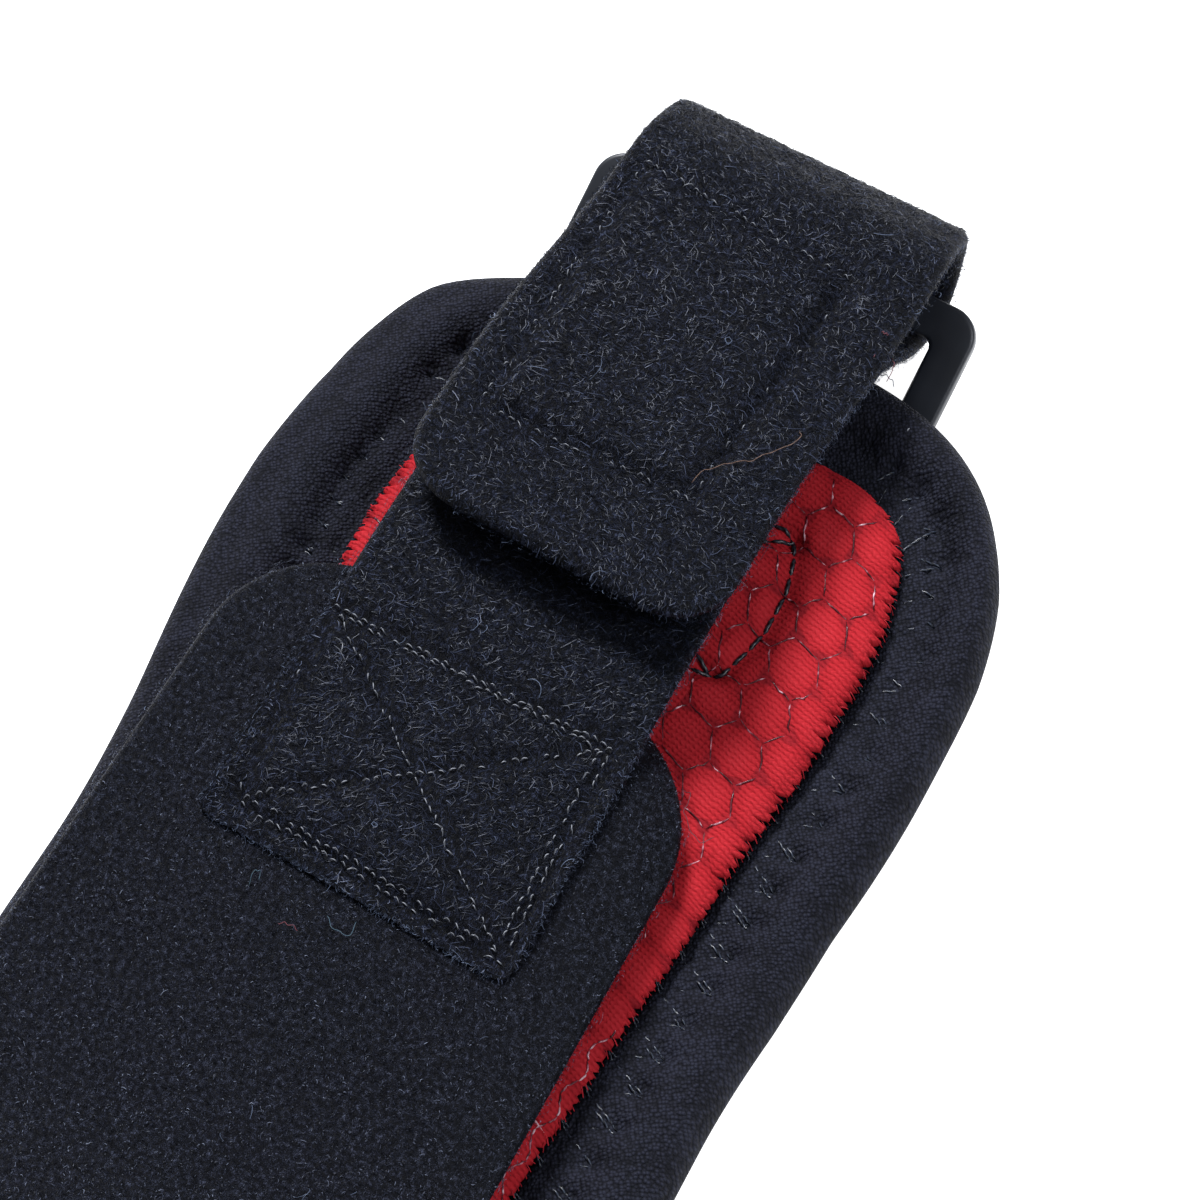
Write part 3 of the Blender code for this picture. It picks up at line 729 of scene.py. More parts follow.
def blackKnit():
    # fine warp knit of dull nylon: small round stitches packed like scales, blue-black, with painted shade
    # darkening the colour between the stitches
    material, tree, shader = newMaterial("black_warp_knit", Roughness=0.75, Specular_IOR_Level=0.1)
    uv = layer(tree, "cloth")
    inputs = {"Vector": turned(tree, uv, math.radians(31.0)), "Scale": 1.0 / (0.4 * mm), "Randomness": 0.6}
    stitches = addNode(tree, "TexVoronoi", inputs).outputs["Distance"]
    height = scaled(tree, stitches, -1.5, scaled(tree, noise(tree, uv, 6000.0, 3.0), 0.5, 0.6))
    # painted shade: the tone follows the stitches' height, darkest in the hollows between them
    tone = scaled(tree, noise(tree, uv, 240.0, 3.0), 0.8, height)
    dress(tree, shader, ramp(tree, tone, [(0.2, "#111218"), (0.55, "#1d1e27"), (0.9, "#292b37")]),
          height, 0.9, 0.2)
    return material


def netPlace(tree, uv):
    # place in the honeycomb's own steps, a little uneven
    parts = split(tree, bent(tree, uv, 160.0, 2.0, 1.6))
    place = addNode(tree, "CombineXYZ", {0: parts["X"], 1: parts["Y"], 2: 1.0}).outputs[0]
    centre = np.array(netSizes["cell"]) + 0.8
    found = []
    for row in netBack:
        inputs = {0: place, 1: (row[0] / mm, row[1] / mm, -float(row @ centre))}
        found.append(addNode(tree, "VectorMath", inputs, operation="DOT_PRODUCT").outputs["Value"])
    return found


def redKnit():
    # red jersey knit with fine ribs, drawn in by the honeycomb net, with painted shade toward the net's
    # lines and between the ribs
    material, tree, shader = newMaterial("red_jersey_knit", Roughness=0.75, Specular_IOR_Level=0.1)
    uv = layer(tree, "cloth")
    parts = split(tree, turned(tree, bent(tree, uv, 700.0, 3.0, 0.8), math.radians(-17.0)))
    rope = scaled(tree, parts["X"], 1.0 / (0.58 * mm))
    stitch = scaled(tree, parts["Y"], 1.0 / (0.62 * mm))
    across = calc(tree, "ABSOLUTE", scaled(tree, calc(tree, "FRACT", rope), 1.0, -0.5))
    wave = calc(tree, "SINE", scaled(tree, scaled(tree, across, 1.2, stitch), 2 * math.pi))
    leg = calc(tree, "ABSOLUTE", calc(tree, "SINE", scaled(tree, rope, math.pi)))
    height = scaled(tree, noise(tree, uv, 5600.0, 3.0), 0.5, scaled(tree, wave, 0.2, leg))
    u, v = netPlace(tree, uv)
    first, second, third = [calc(tree, "COSINE", scaled(tree, way, 2 * math.pi))
                            for way in (u, v, calc(tree, "SUBTRACT", u, v))]
    cells = calc(tree, "ADD", calc(tree, "ADD", first, second), third)
    ends = [at * mm for at in liningRelief["quiltEnds"]]
    quilted = ranged(tree, split(tree, uv)["X"], *ends, 1.0, 0.0)
    groove = scaled(tree, ranged(tree, cells, -1.32, -0.85, 1.0, 0.0, "SMOOTHSTEP"), quilted)
    puff = ranged(tree, cells, -1.2, 1.6, 0.0, 1.0, "SMOOTHSTEP")
    broad = noise(tree, uv, 170.0, 3.0)
    # painted shade: the tone follows the cells' puff and the ribs' height, darker toward the net's lines and
    # in the hollows between ribs
    tone = scaled(tree, puff, 0.14, scaled(tree, broad, 0.3, scaled(tree, height, 0.3)))
    cloth = ramp(tree, tone, [(0.1, "#780f15"), (0.35, "#a61c24"), (0.65, "#b9272f"), (0.95, "#c9373f")])
    patchy = ranged(tree, broad, 0.35, 0.6, 0.1, 0.5)
    mixed = addNode(tree, "Mix", {"Factor": scaled(tree, groove, patchy)}, data_type="RGBA")
    tree.links.new(cloth, mixed.inputs["A"])
    mixed.inputs["B"].default_value = colour("#4b0c17")
    relief = scaled(tree, groove, -0.5, scaled(tree, height, 0.6))
    relief = scaled(tree, scaled(tree, puff, quilted), 0.15, relief)
    dress(tree, shader, mixed.outputs["Result"], relief, 0.8, 0.16)
    return material


def pileGround(name, stops, fibre, stretch, comb):
    # felted pile: thin curled filaments drawn as the level lines of two noises, lighter as painted sheen,
    # with painted shade between them
    material, tree, shader = newMaterial(name, Roughness=0.6, Specular_IOR_Level=0.12)
    uv = layer(tree, "cloth")
    lines = []
    for turn, size in ((comb + 0.35, 1.0), (comb - 0.3, 0.72)):
        combed = turned(tree, uv, turn, (1.0 / stretch, 1.0, 1.0))
        level = noise(tree, combed, 1.0 / (fibre * size * mm), 1.5, 1.2)
        apart = calc(tree, "ABSOLUTE", scaled(tree, level, 1.0, -0.5))
        lines.append(ranged(tree, apart, 0.0, 0.085, 1.0, 0.0))
    felt = calc(tree, "MAXIMUM", lines[0], scaled(tree, lines[1], 0.85))
    # painted sheen on the filaments and painted shade in the gaps between them
    tone = scaled(tree, felt, scaled(tree, noise(tree, uv, 1500.0, 2.0), 1.6, -0.2))
    dress(tree, shader, ramp(tree, tone, stops), felt, 0.9, 0.16)
    return material


def netFilament():
    # clear monofilament seen over the red: dusky, with pink painted glints at random places, and lighter
    # farther from the nose
    material, tree, shader = newMaterial("clear_net_monofilament", Roughness=0.28)
    place = addNode(tree, "TexCoord").outputs["Object"]
    # lighter toward lower x in the frame, from 30 mm down to -12 mm
    fartherFromNose = ranged(tree, split(tree, place)["X"], -0.012, 0.03, 0.1, 0.0)
    glint = scaled(tree, noise(tree, place, 1100.0, 1.0), 1.0, fartherFromNose)
    dress(tree, shader, ramp(tree, glint, [
        (0.44, "#4a1019"), (0.54, "#6d2733"), (0.62, "#b06c7a"), (0.7, "#e6bcc5")]))
    return material


def pileFibre(name, stops, roughness):
    # dyed nylon filament: every fibre has its own depth of colour, the lightest tints on a few fibres being
    # painted glints, and a small hard glint from the shader
    material, tree, shader = newMaterial(name, Roughness=roughness, Specular_IOR_Level=0.26,
                                         Specular_Tint=colour("#d8def0"))
    # the ramp's lightest stops, reached by few fibres, are painted glints
    dress(tree, shader, ramp(tree, split(tree, layer(tree, "fibre"))["X"], stops))
    return material


def spunThread(name, dark, light, roughness, twist):
    # twisted sewing thread: two plies that wind round each other, each lighter on its crest and darker where
    # they meet, as painted highlight and shade
    material, tree, shader = newMaterial(name, Roughness=roughness)
    parts = split(tree, layer(tree, "fibre"))
    turn = scaled(tree, parts["Y"], 2 * math.pi / (twist * mm), scaled(tree, parts["X"], 4 * math.pi))
    # painted highlight and shade: each ply lighter on its crest, darker where the plies meet
    ply = scaled(tree, calc(tree, "SINE", turn), 0.5, 0.5)
    dress(tree, shader, ramp(tree, ply, [(0.1, dark), (0.8, light)]), ply, 0.6, 0.05)
    return material


def mouldedPlastic():
    # black acetal, moulded: even satin, faint mottle from the tool
    material, tree, shader = newMaterial("black_moulded_acetal")
    place = addNode(tree, "TexCoord").outputs["Object"]
    grain = noise(tree, place, 3800.0, 2.0)
    broad = noise(tree, place, 220.0, 3.0)
    tree.links.new(ranged(tree, broad, 0.0, 1.0, 0.36, 0.48), shader.inputs["Roughness"])
    dress(tree, shader, ramp(tree, broad, [(0.3, "#171a21"), (0.7, "#1d2129")]), grain, 0.15, 0.02)
    return material


def wovenWebbing():
    # plain-woven nylon tape: short floats set like bricks
    material, tree, shader = newMaterial("black_woven_nylon", Roughness=0.7)
    bricks = addNode(tree, "TexBrick", {
        "Vector": layer(tree, "cloth"), "Scale": 1.0, "Brick Width": 1.1 * mm, "Row Height": 0.5 * mm,
        "Color1": colour("#0f1014"), "Color2": colour("#171920"), "Mortar": colour("#050507"),
        "Mortar Size": 0.07 * mm, "Mortar Smooth": 0.6,
    })
    dress(tree, shader, bricks.outputs["Color"], bricks.outputs["Fac"], 0.6, 0.12, invert=True)
    return material


print("materials")
knitMaterial = blackKnit()
redMaterial = redKnit()
wingGround = pileGround("black_velour_ground", [
    (0.05, "#04050a"), (0.4, "#12141d"), (0.9, "#4a4f62")], 0.32, 1.3, 0.3)
loopGround = pileGround("black_loop_tape_ground", [
    (0.05, "#020306"), (0.4, "#0b0d16"), (0.9, "#3c435a")], 0.36, 2.8, 1.4)
# fibre ramps: the lightest stop of each, on few fibres, is painted glint
velourMaterial = pileFibre("black_velour_fibre", [
    (0.0, "#040508"), (0.5, "#10121a"), (0.88, "#292d3a"), (1.0, "#6c7385")], 0.42)
loopMaterial = pileFibre("black_loop_fibre", [
    (0.0, "#020306"), (0.6, "#0c0e16"), (0.9, "#202535"), (1.0, "#4c546a")], 0.38)
# fringe and stray fibres: the pile's black nylon, in lighter tints than the pile's fibres as painted sheen
fringeMaterial = pileFibre("black_fringe_fibre_painted_sheen", [
    (0.0, "#10131d"), (0.6, "#262d3c"), (1.0, "#6b7890")], 0.45)
redYarn = pileFibre("red_knit_yarn", [(0.0, "#7d1016"), (1.0, "#bf2a33")], 0.8)
blackThread = spunThread("black_polyester_thread", "#0a0b0e", "#2a2e37", 0.35, 0.9)
seamThread = spunThread("blue_black_polyester_thread", "#0d0f15", "#313845", 0.35, 0.9)
paleThread = spunThread("pale_grey_thread", "#32353d", "#92959c", 0.4, 0.9)
netThread = netFilament()
ringMaterial = mouldedPlastic()
webbingMaterial = wovenWebbing()


def arrayMesh(name, points, quads, lay, material):
    mesh = bpy.data.meshes.new(name)
    mesh.vertices.add(len(points))
    mesh.vertices.foreach_set("co", points.ravel())
    mesh.loops.add(quads.size)
    mesh.loops.foreach_set("vertex_index", quads.ravel().astype(np.int32))
    mesh.polygons.add(len(quads))
    mesh.polygons.foreach_set("loop_start", np.arange(0, quads.size, 4, dtype=np.int32))
    mesh.polygons.foreach_set("use_smooth", np.ones(len(quads), bool))
    mesh.uv_layers.new(name="fibre").data.foreach_set("uv", lay[quads.ravel()].ravel())
    mesh.update(calc_edges=True)
    mesh.validate()
    mesh.materials.append(material)
    return newObject(name, mesh)


def ribbons(name, paths, widths, sideways, tint, material):
    # thin strips along many short paths, joined in one mesh: fibres too fine to need a round section
    count, steps = paths.shape[:2]
    half = sideways * widths[:, None, None] / 2
    points = np.stack([paths - half, paths + half], 2)
    corner = np.arange(count)[:, None] * steps * 2 + np.arange(steps - 1)[None] * 2
    quads = np.stack([corner, corner + 1, corner + 3, corner + 2], -1).reshape(-1, 4)
    along = np.broadcast_to(np.arange(steps)[None, :, None] / (steps - 1), (count, steps, 2))
    lay = np.stack([np.broadcast_to(tint[:, None, None], along.shape), along], -1).reshape(-1, 2)
    return arrayMesh(name, toFrame(points.reshape(-1, 3)), quads, lay, material)


def threadTubes(name, paths, radius, sides, material):
    # round threads along many paths of equally many points, tapered to closed tips
    paths = np.asarray(paths)
    count, steps = paths.shape[:2]
    tangent = unit(np.gradient(paths, axis=1))
    first = unit(np.cross(tangent, (0.0, 0.0, 1.0)))
    second = np.cross(first, tangent)
    taper = np.ones(steps)
    taper[[0, -1]] = 0.25
    angle = np.arange(sides) * 2 * math.pi / sides
    ring = first[:, :, None] * np.cos(angle)[:, None] + second[:, :, None] * np.sin(angle)[:, None]
    points = paths[:, :, None] + ring * radius * taper[None, :, None, None]
    base = np.arange(count)[:, None, None] * steps * sides + np.arange(steps - 1)[None, :, None] * sides
    here = base + np.arange(sides)
    after = base + (np.arange(sides) + 1) % sides
    quads = np.stack([here, after, after + sides, here + sides], -1).reshape(-1, 4)
    travelled = np.cumsum(np.linalg.norm(np.diff(paths, axis=1), axis=-1), 1) * mm
    travelled = np.concatenate([np.zeros((count, 1)), travelled], 1)
    lay = np.stack([
        np.broadcast_to(angle / (2 * math.pi), (count, steps, sides)),
        np.broadcast_to(travelled[:, :, None], (count, steps, sides)),
    ], -1).reshape(-1, 2)
    thread = arrayMesh(name, toFrame(points.reshape(-1, 3)), quads, lay, material)
    shape = bmesh.new()
    shape.from_mesh(thread.data)
    bmesh.ops.holes_fill(shape, edges=[edge for edge in shape.edges if edge.is_boundary], sides=sides)
    bmesh.ops.recalc_face_normals(shape, faces=shape.faces)
    shape.to_mesh(thread.data)
    shape.free()
    return thread


def scatter(cloth, face, count, density, source):
    # random places on a cloth's face, as thick as density asks
    points = cloth[face]
    corner = points[:-1, :-1]
    area = np.linalg.norm(np.cross(points[1:, :-1] - corner, points[:-1, 1:] - corner), axis=-1)
    middle = [(field[:-1, :-1] + field[1:, 1:]) / 2 for field in cloth["lay"]]
    weight = (area * density(*middle)).ravel()
    cell = source.choice(len(weight), count, p=weight / weight.sum())
    row, column = np.divmod(cell, area.shape[1])
    u, v = source.random((2, count, 1))

    def mixed(field):
        return ((field[row, column] * (1 - u) + field[row + 1, column] * u) * (1 - v)
                + (field[row, column + 1] * (1 - u) + field[row + 1, column + 1] * u) * v)

    normal = unit(mixed(gridNormals(points)))
    along = mixed(np.gradient(points, axis=0))
    along = unit(along - normal * (along * normal).sum(-1, keepdims=True))
    distance, side, away = [mixed(field[..., None])[:, 0] for field in (*cloth["lay"], cloth["away"])]
    return {"root": mixed(points), "normal": normal, "along": along, "across": np.cross(normal, along),
            "distance": distance, "side": side, "away": away}


def growPile(name, roots, facing, settings, material, source):
    # curled fibres lying over the cloth, combed along a wandering flow, shorter at its edges and lighter
    # there as painted sheen
    count = len(roots["root"])
    steps = settings["steps"]
    normal = roots["normal"] * facing
    flow = wander(roots["distance"], roots["side"], fibreSizes["flowSize"], 11)
    turn = settings["flow"] + settings["stray"] * flow + source.normal(0.0, settings["spread"], count)
    curl = source.normal(0.0, settings["curl"], count)
    length = settings["length"] * np.exp(source.normal(0.0, fibreSizes["lengthSpread"], count))
    grown = np.clip(roots["away"] / fibreSizes["shortReach"], 0.0, 1.0)
    length = length * (fibreSizes["shortest"] + (1.0 - fibreSizes["shortest"]) * grown)
    height = settings["height"] * source.uniform(*fibreSizes["heights"], count)
    profile = np.sin(np.linspace(0.0, fibreSizes["arch"] * math.pi, steps))
    at = roots["root"] - normal * settings["sink"]
    path = [at]
    for k in range(1, steps):
        way = turn + curl * k
        direction = roots["along"] * np.cos(way)[:, None] + roots["across"] * np.sin(way)[:, None]
        at = at + direction * (length / (steps - 1))[:, None]
        path.append(at + normal * (height * profile[k])[:, None])
    path = np.stack(path, 1)
    tangent = np.gradient(path, axis=1)
    sideways = unit(np.cross(tangent, normal[:, None, :]))
    lifted = unit(np.cross(sideways, tangent))
    roll = source.normal(0.0, settings["roll"], count)[:, None, None]
    sideways = sideways * np.cos(roll) + lifted * np.sin(roll)
    widths = settings["width"] * source.uniform(*fibreSizes["widths"], count)
    tint = source.random(count) ** settings["darkness"]
    # painted sheen: fibres near the cloth's edges get lighter tints
    light = settings["paintedEdgeSheen"] * bell(roots["away"], fibreSizes["paintedSheenReach"]) * source.random(count)
    return ribbons(name, path, widths, sideways, np.clip(tint + light, 0.0, 1.0), material)


def alongPath(path, step):
    # places every step along a path in the plane, and how far along they are
    path = np.asarray(path, float)
    total = np.concatenate([[0.0], np.cumsum(np.linalg.norm(np.diff(path, axis=0), axis=1))])
    at = np.arange(0.0, total[-1] + 1e-9, step)
    return np.stack([np.interp(at, total, path[:, 0]), np.interp(at, total, path[:, 1])], 1), at


print("body")
size = bodySizes
start = outlineSizes["start"]
rows = zonedStations(bodyLength, size["noseReach"], size["backEndReach"], size["endRows"], size["rowStep"],
                     size["closeTo"], size["wideStep"])
middleShares = np.linspace(-size["middleShare"], size["middleShare"], size["middleColumns"])[1:-1]
rimShares = np.linspace(size["middleShare"], 1.0 - size["edgeShare"], size["rimColumns"])
turn = np.linspace(0.0, math.pi / 2, size["edgeColumns"])[1:]
outerShares = np.concatenate([rimShares, 1.0 - size["edgeShare"] * (1.0 - np.sin(turn))])
shares = np.concatenate([-outerShares[::-1], middleShares, outerShares])
distance, share = np.meshgrid(rows, shares, indexing="ij")
side = share * bodyHalf(np.clip(distance, start, bodyLength - start), share)
top = bodyTop(distance, side)
fromEdge, _ = nearestOn(bodyOutline, distance, side)
bottom = size["thickness"] / 2 * (1.0 - roundedEdge(fromEdge, size["edge"]))
for border in (np.s_[0], np.s_[-1], np.s_[:, 0], np.s_[:, -1]):
    top[border] = bottom[border] = size["thickness"] / 2
bodyPiece = clothPiece("padded_body", "pad_body", {
    "upper": onBody(distance, side, top), "lower": onBody(distance, side, bottom), "lay": (distance, side),
}, knitMaterial)

print("lining")
size = liningSizes
inset = size["rim"] + outlineSizes["start"]
rows = inset + zonedStations(bodyLength - 2 * inset, size["endReach"], size["endReach"], size["endRows"],
                             size["rowStep"], size["closeTo"] - inset, size["wideStep"])
distance, share = np.meshgrid(rows, crowdedShares(*size["shares"]), indexing="ij")
source = np.random.default_rng(8)
toothAt = np.cumsum(source.uniform(*size["toothSpread"], size["teeth"])) * size["toothPitch"]
depths = size["toothDepth"] * source.uniform(*size["toothDepths"], size["teeth"]) \
    * (0.5 + 0.5 * (toothAt < size["toothFront"]))
halfGap = source.uniform(*size["toothGap"], size["teeth"])
knots = np.stack([toothAt - halfGap, toothAt, toothAt + halfGap], 1).ravel()
nibbleAt = np.arange(0.0, 600.0, size["nibbleStep"])
cuts = np.stack([0 * depths, depths, 0 * depths], 1).ravel() \
    + size["nibble"] * np.interp(knots, nibbleAt, source.random(len(nibbleAt)))
tooth = np.interp(np.where(share > 0, distance, distance + size["toothShift"]), knots, cuts)
edgeHalf = liningHalf(distance, share)
half = edgeHalf + size["overlap"] - tooth * smoothstep(edgeHalf, *size["toothReach"])
half = np.maximum(half, size["thinnest"])
side = share * half + size["sideShift"]
top = liningTop(distance, side)
under = bodySizes["thickness"] + size["proud"] - size["thickness"] + 0.0 * top
away = np.minimum((1.0 - np.abs(share)) * half, np.minimum(distance - inset, bodyLength - inset - distance))
edge = roundedEdge(away, size["edge"])
middle = under + 0.25
liningPiece = clothPiece("red_lining", "lining", {
    "upper": onBody(distance, side, middle + (top - middle) * edge),
    "lower": onBody(distance, side, middle + (under - middle) * edge), "lay": (distance, side),
}, redMaterial)

# honeycomb net, knitted into the lining, with a chain of it where the lining is a narrow strip
size = netSizes
netPaths = []
source = np.random.default_rng(21)
stepA, stepB = netSteps.T
shares = np.linspace(0.04, 0.96, size["points"])[:, None]
for i in range(-12, 60):
    for j in range(-12, 14):
        corner = np.array(size["cell"]) + stepA * i + stepB * j + (2 * stepA + stepB) / 3
        for way in ((stepB - stepA) / 3, (2 * stepA + stepB) / 3, -(stepA + 2 * stepB) / 3):
            ends = np.array([corner, corner + way])
            fromEnd = min(ends[:, 0].min(), bodyLength - ends[:, 0].max()) - inset
            off = ends[:, 1] - liningSizes["sideShift"]
            fromEdge = (liningHalf(ends[:, 0], off) - np.abs(off)).min()
            if fromEnd < size["fromEnd"] or fromEdge < size["fromEdge"]:
                continue
            line = corner + way * shares + source.normal(0.0, size["spread"], (size["points"], 2))
            lift = source.uniform(*size["lifts"], (size["points"], 1))
            netPaths.append(np.concatenate([line, lift], 1))
for start in np.arange(size["chainFrom"], size["chainTo"], size["chainStep"]):
    along = start + size["chainStep"] * np.linspace(0.0, 1.0, size["points"])
    inward = size["chainInset"] + size["chainSway"] * np.sin(along * 1.2) \
        + source.normal(0.0, 0.04, size["points"])
    netPaths.append(np.stack([along, liningSizes["sideShift"] - liningHalf(along, -1) + inward,
                              source.uniform(0.0, 0.12, size["points"])], 1))
netPiece = attach(threadTubes("lining_net", overLining(netPaths), size["thread"], 4, netThread), "lining")

# raw edge of the lining: ends of the knit's wales
size = edgeSizes
source = np.random.default_rng(34)
around = np.arange(0.0, liningRound, size["step"])
count = len(around)
around = around + source.normal(0.0, size["spread"], count)
onEdge, turn = onOutline(liningOutline, around)
turn = turn + source.normal(*size["turn"], count)
clumpAt = np.arange(0.0, size["clumpsTo"], size["clumpStep"])
clumps = np.interp(around, clumpAt, source.random(len(clumpAt)))
reach = size["out"] * np.clip(0.1 + 1.1 * clumps + source.normal(0.0, 0.2, count), 0.0, 1.5)
reach *= 0.6 + 0.4 * (onEdge[:, 0] < size["frontReach"])
steps = np.linspace(0.0, 1.0, size["steps"])
out = -size["inside"] + (size["inside"] + reach[:, None]) * steps
edgePaths = onEdge[:, None] + np.stack([np.cos(turn), np.sin(turn)], 1)[:, None] * out[:, :, None]
edgeFrom = liningTop(onEdge[:, 0], onEdge[:, 1])[:, None] - size["sink"]
drop = size["drop"][0] + size["drop"][1] * source.random((count, 1))
heights = edgeFrom + size["arch"] * np.sin(math.pi * steps) - drop * steps ** 2
edgePaths = onBody(edgePaths[..., 0], edgePaths[..., 1], heights)
edgeSideways = unit(np.cross(np.gradient(edgePaths, axis=1), (0.0, 0.0, 1.0)))
edgeWidths = size["width"] * source.uniform(*size["widths"], count)
edgePiece = attach(ribbons("lining_raw_edge", edgePaths, edgeWidths, edgeSideways, source.random(count),
                           redYarn), "lining")

# X-box through the lining, in stitches of five steps
boxPaths = []
arch = np.sin(np.linspace(0.0, math.pi, 6))[:, None] * 0.22 - 0.02
for path in [boxSeam] + boxCross:
    spots, _ = alongPath(path, 0.5)
    boxPaths += [np.concatenate([spots[k:k + 6], arch], 1) for k in range(0, len(spots) - 5, 5)]
boxPiece = attach(threadTubes("lining_box_seam", overLining(boxPaths), 0.25, 6, blackThread), "pad_body")

# zigzag seam round the lining: thread that dives into the cloth at the end of each stroke, partly doubled
size = seamSizes
spots, turn = onOutline(liningOutline, seamAt)
reach = np.where(np.arange(len(seamAt)) % 2, size["reach"], -size["inside"])
reach = reach * source.uniform(*size["reaches"], len(seamAt))
spots = spots + np.stack([np.cos(turn), np.sin(turn)], 1) * reach[:, None]
seamPaths = []
seamLift = []
t = np.linspace(0.0, 1.0, size["points"])[:, None]
for k, (start, end) in enumerate(zip(spots[:-1], spots[1:])):
    if np.linalg.norm(end - start) > size["longest"]:
        continue
    front = start[0] < size["frontReach"]
    seamPaths.append(start + (end - start) * t * (0.5 if k % 2 and front else 1.0))
    if k % 2 == 0:
        seamLift.append(-0.14 + 0.24 * t[:, 0] ** 3)
        continue
    seamLift.append(-0.12 + 0.36 * (1.0 - t[:, 0]) ** 1.2)
    if (size["doubledFront"] if front else size["doubled"]) > source.random():
        along = (spots[k] - spots[k - 1] + end - start) * source.uniform(*size["shifts"])
        seamPaths.append(start - along + (end - start) * t * source.uniform(*size["lengths"]))
        seamLift.append(0.18 - 0.3 * t[:, 0])
along, across = np.moveaxis(np.array(seamPaths), -1, 0)
off = across - liningSizes["sideShift"]
seamTop = np.where(np.abs(off) < liningHalf(along, off), liningTop(along, across), bodyTop(along, across))
attach(threadTubes("zigzag_seam", onBody(along, across, seamTop + np.array(seamLift)), size["thread"], 5,
                   seamThread), "pad_body")


def placeWing(distance, share):
    # middle of the wing, which hangs a little along its free edge toward -Y
    size = wingSizes
    x, z = onRoute(wing, distance)
    free = smoothstep(x, backEndX + size["freeFrom"], backEndX + size["fall"])
    drawn = 1.0 - size["drawn"] * free * smoothstep(-share, *size["drawnReach"])
    side = share * (size["width"] / 2 - cornerInset(wing["length"] - distance, size["corner"])) * drawn
    hang = size["hang"] * free * smoothstep(-share, *size["hangReach"]) ** size["hangPower"]
    return settle(x, side, z - hang), side


print("wing")
size = wingSizes
rows = stations(wing["length"], size["sewnEnd"], size["corner"], *size["rows"])
wingCloth = slab(rows, crowdedShares(*size["shares"]), placeWing, size)
wingPiece = clothPiece("velour_wing", "wing", wingCloth, wingGround)


def lapped(distance):
    # 1 where the strap is sewn on the wing
    return 1.0 - smoothstep(distance, strapSizes["lap"] - strapSizes["lapEase"],
                            strapSizes["lap"] + strapSizes["lapEase"])


def placeStrap(distance, share):
    size = strapSizes
    fromEnd = strap["length"] - distance
    inset = cornerInset(distance, size["corner"]) + cornerInset(fromEnd, size["tabCorner"])
    tab = smoothstep(distance, widening - size["widenBefore"], widening + size["widenAfter"])
    half = (size["width"] + (size["tabWidth"] - size["width"]) * tab) / 2
    bulge = size["bulge"] * bell(distance - widening + size["bulgeBefore"], size["bulgeSpread"])
    half = half + bulge * (share < 0.0)
    x, z = onRoute(strap, distance)
    side = share * (half - inset)
    end = 1.0 - smoothstep(distance, 0.0, size["endReach"])
    return settle(x, side, z - size["lapPressed"] * lapped(distance) - size["endPressed"] * end), side


def seenFromAbove(distance, side, width):
    # where places on the strap lie in the frame
    middle, _ = placeStrap(distance, side / (width / 2))
    return middle[..., 0] + noseTipX, middle[..., 1]


def fromStitches(distance, side):
    return fromPaths([wingBox] + wingCross, *seenFromAbove(distance, side, strapSizes["width"]))


def strapUpper(distance, side):
    # the lower run's top face: sunk where the X-box holds it on the wing
    form = strapRelief
    seam = form["boxDepth"] * bell(fromStitches(distance, side), form["boxSpread"])
    end = 1.0 - smoothstep(distance, 0.0, strapSizes["endReach"])
    flat = lapped(distance) * (form["lapFlat"] + form["endFlat"] * end)
    return -seam * (distance < strapSizes["lap"] + shownSizes["seam"]) - flat


def strapLower(distance, side):
    # the tab's top face: raised a little over the patch, sunk along its seam
    form = strapRelief
    x, y = seenFromAbove(distance, side, strapSizes["tabWidth"])
    near = fromPath(patchBox, x, y)
    filled = form["patchRise"] * smoothstep(near, 0.0, form["patchReach"]) * insideOf(patchBox, x, y)
    soft = form["soft"] * wander(distance, side, form["softSize"], 14)
    onTab = smoothstep(distance, widening - form["tabEase"], widening)
    return onTab * (filled - form["patchDepth"] * bell(near, form["patchSpread"]) + soft)


print("strap")
size = strapSizes
rows = stations(strap["length"], size["corner"], size["tabCorner"], *size["rows"])
strapCloth = slab(rows, crowdedShares(*size["shares"]), placeStrap, size, strapUpper, strapLower)
strapPiece = clothPiece("loop_strap", "strap", strapCloth, loopGround)


def shownLower(distance, side):
    # thick pile where it shows, and little of it over the stitches
    size = shownSizes
    inSight = (distance > size["start"]) & (distance < strapSizes["lap"] + size["lower"])
    nearSeam = distance < strapSizes["lap"] + size["seam"]
    seam = bell(fromStitches(distance, side), size["seamSpread"]) * nearSeam
    return np.where(inSight, 1.0, size["hiddenLower"]) * (1.0 - size["seamBare"] * seam)


def shownUpper(distance, side):
    return np.where(distance > strapSizes["lap"] + shownSizes["upper"], 1.0, shownSizes["hiddenUpper"])


def shownWing(distance, side):
    covered = (wing["length"] - distance < shownSizes["wingEnd"]) & (np.abs(side) < shownSizes["wingHalf"])
    return np.where(covered, shownSizes["hiddenWing"], 1.0)


print("pile")
source = np.random.default_rng(5)
for name, slot, cloth, face, count, shown, settings, material in (
        ("strap_pile_lower", "strap", strapCloth, "upper", 34000, shownLower, loopPile, loopMaterial),
        ("strap_pile_upper", "strap", strapCloth, "lower", 37000, shownUpper, loopPile, loopMaterial),
        ("wing_pile", "wing", wingCloth, "upper", 42000, shownWing, velourPile, velourMaterial),
        ("strap_strays_upper", "strap", strapCloth, "lower", 110, shownUpper, strayPile, fringeMaterial),
        ("strap_strays_lower", "strap", strapCloth, "upper", 110, shownLower, strayPile, fringeMaterial),
        ("wing_strays", "wing", wingCloth, "upper", 90, shownWing, shortStray, fringeMaterial)):
    roots = scatter(cloth, face, count, shown, source)
    facing = 1.0 if face == "upper" else -1.0
    attach(growPile(name, roots, facing, settings, material, source), slot)


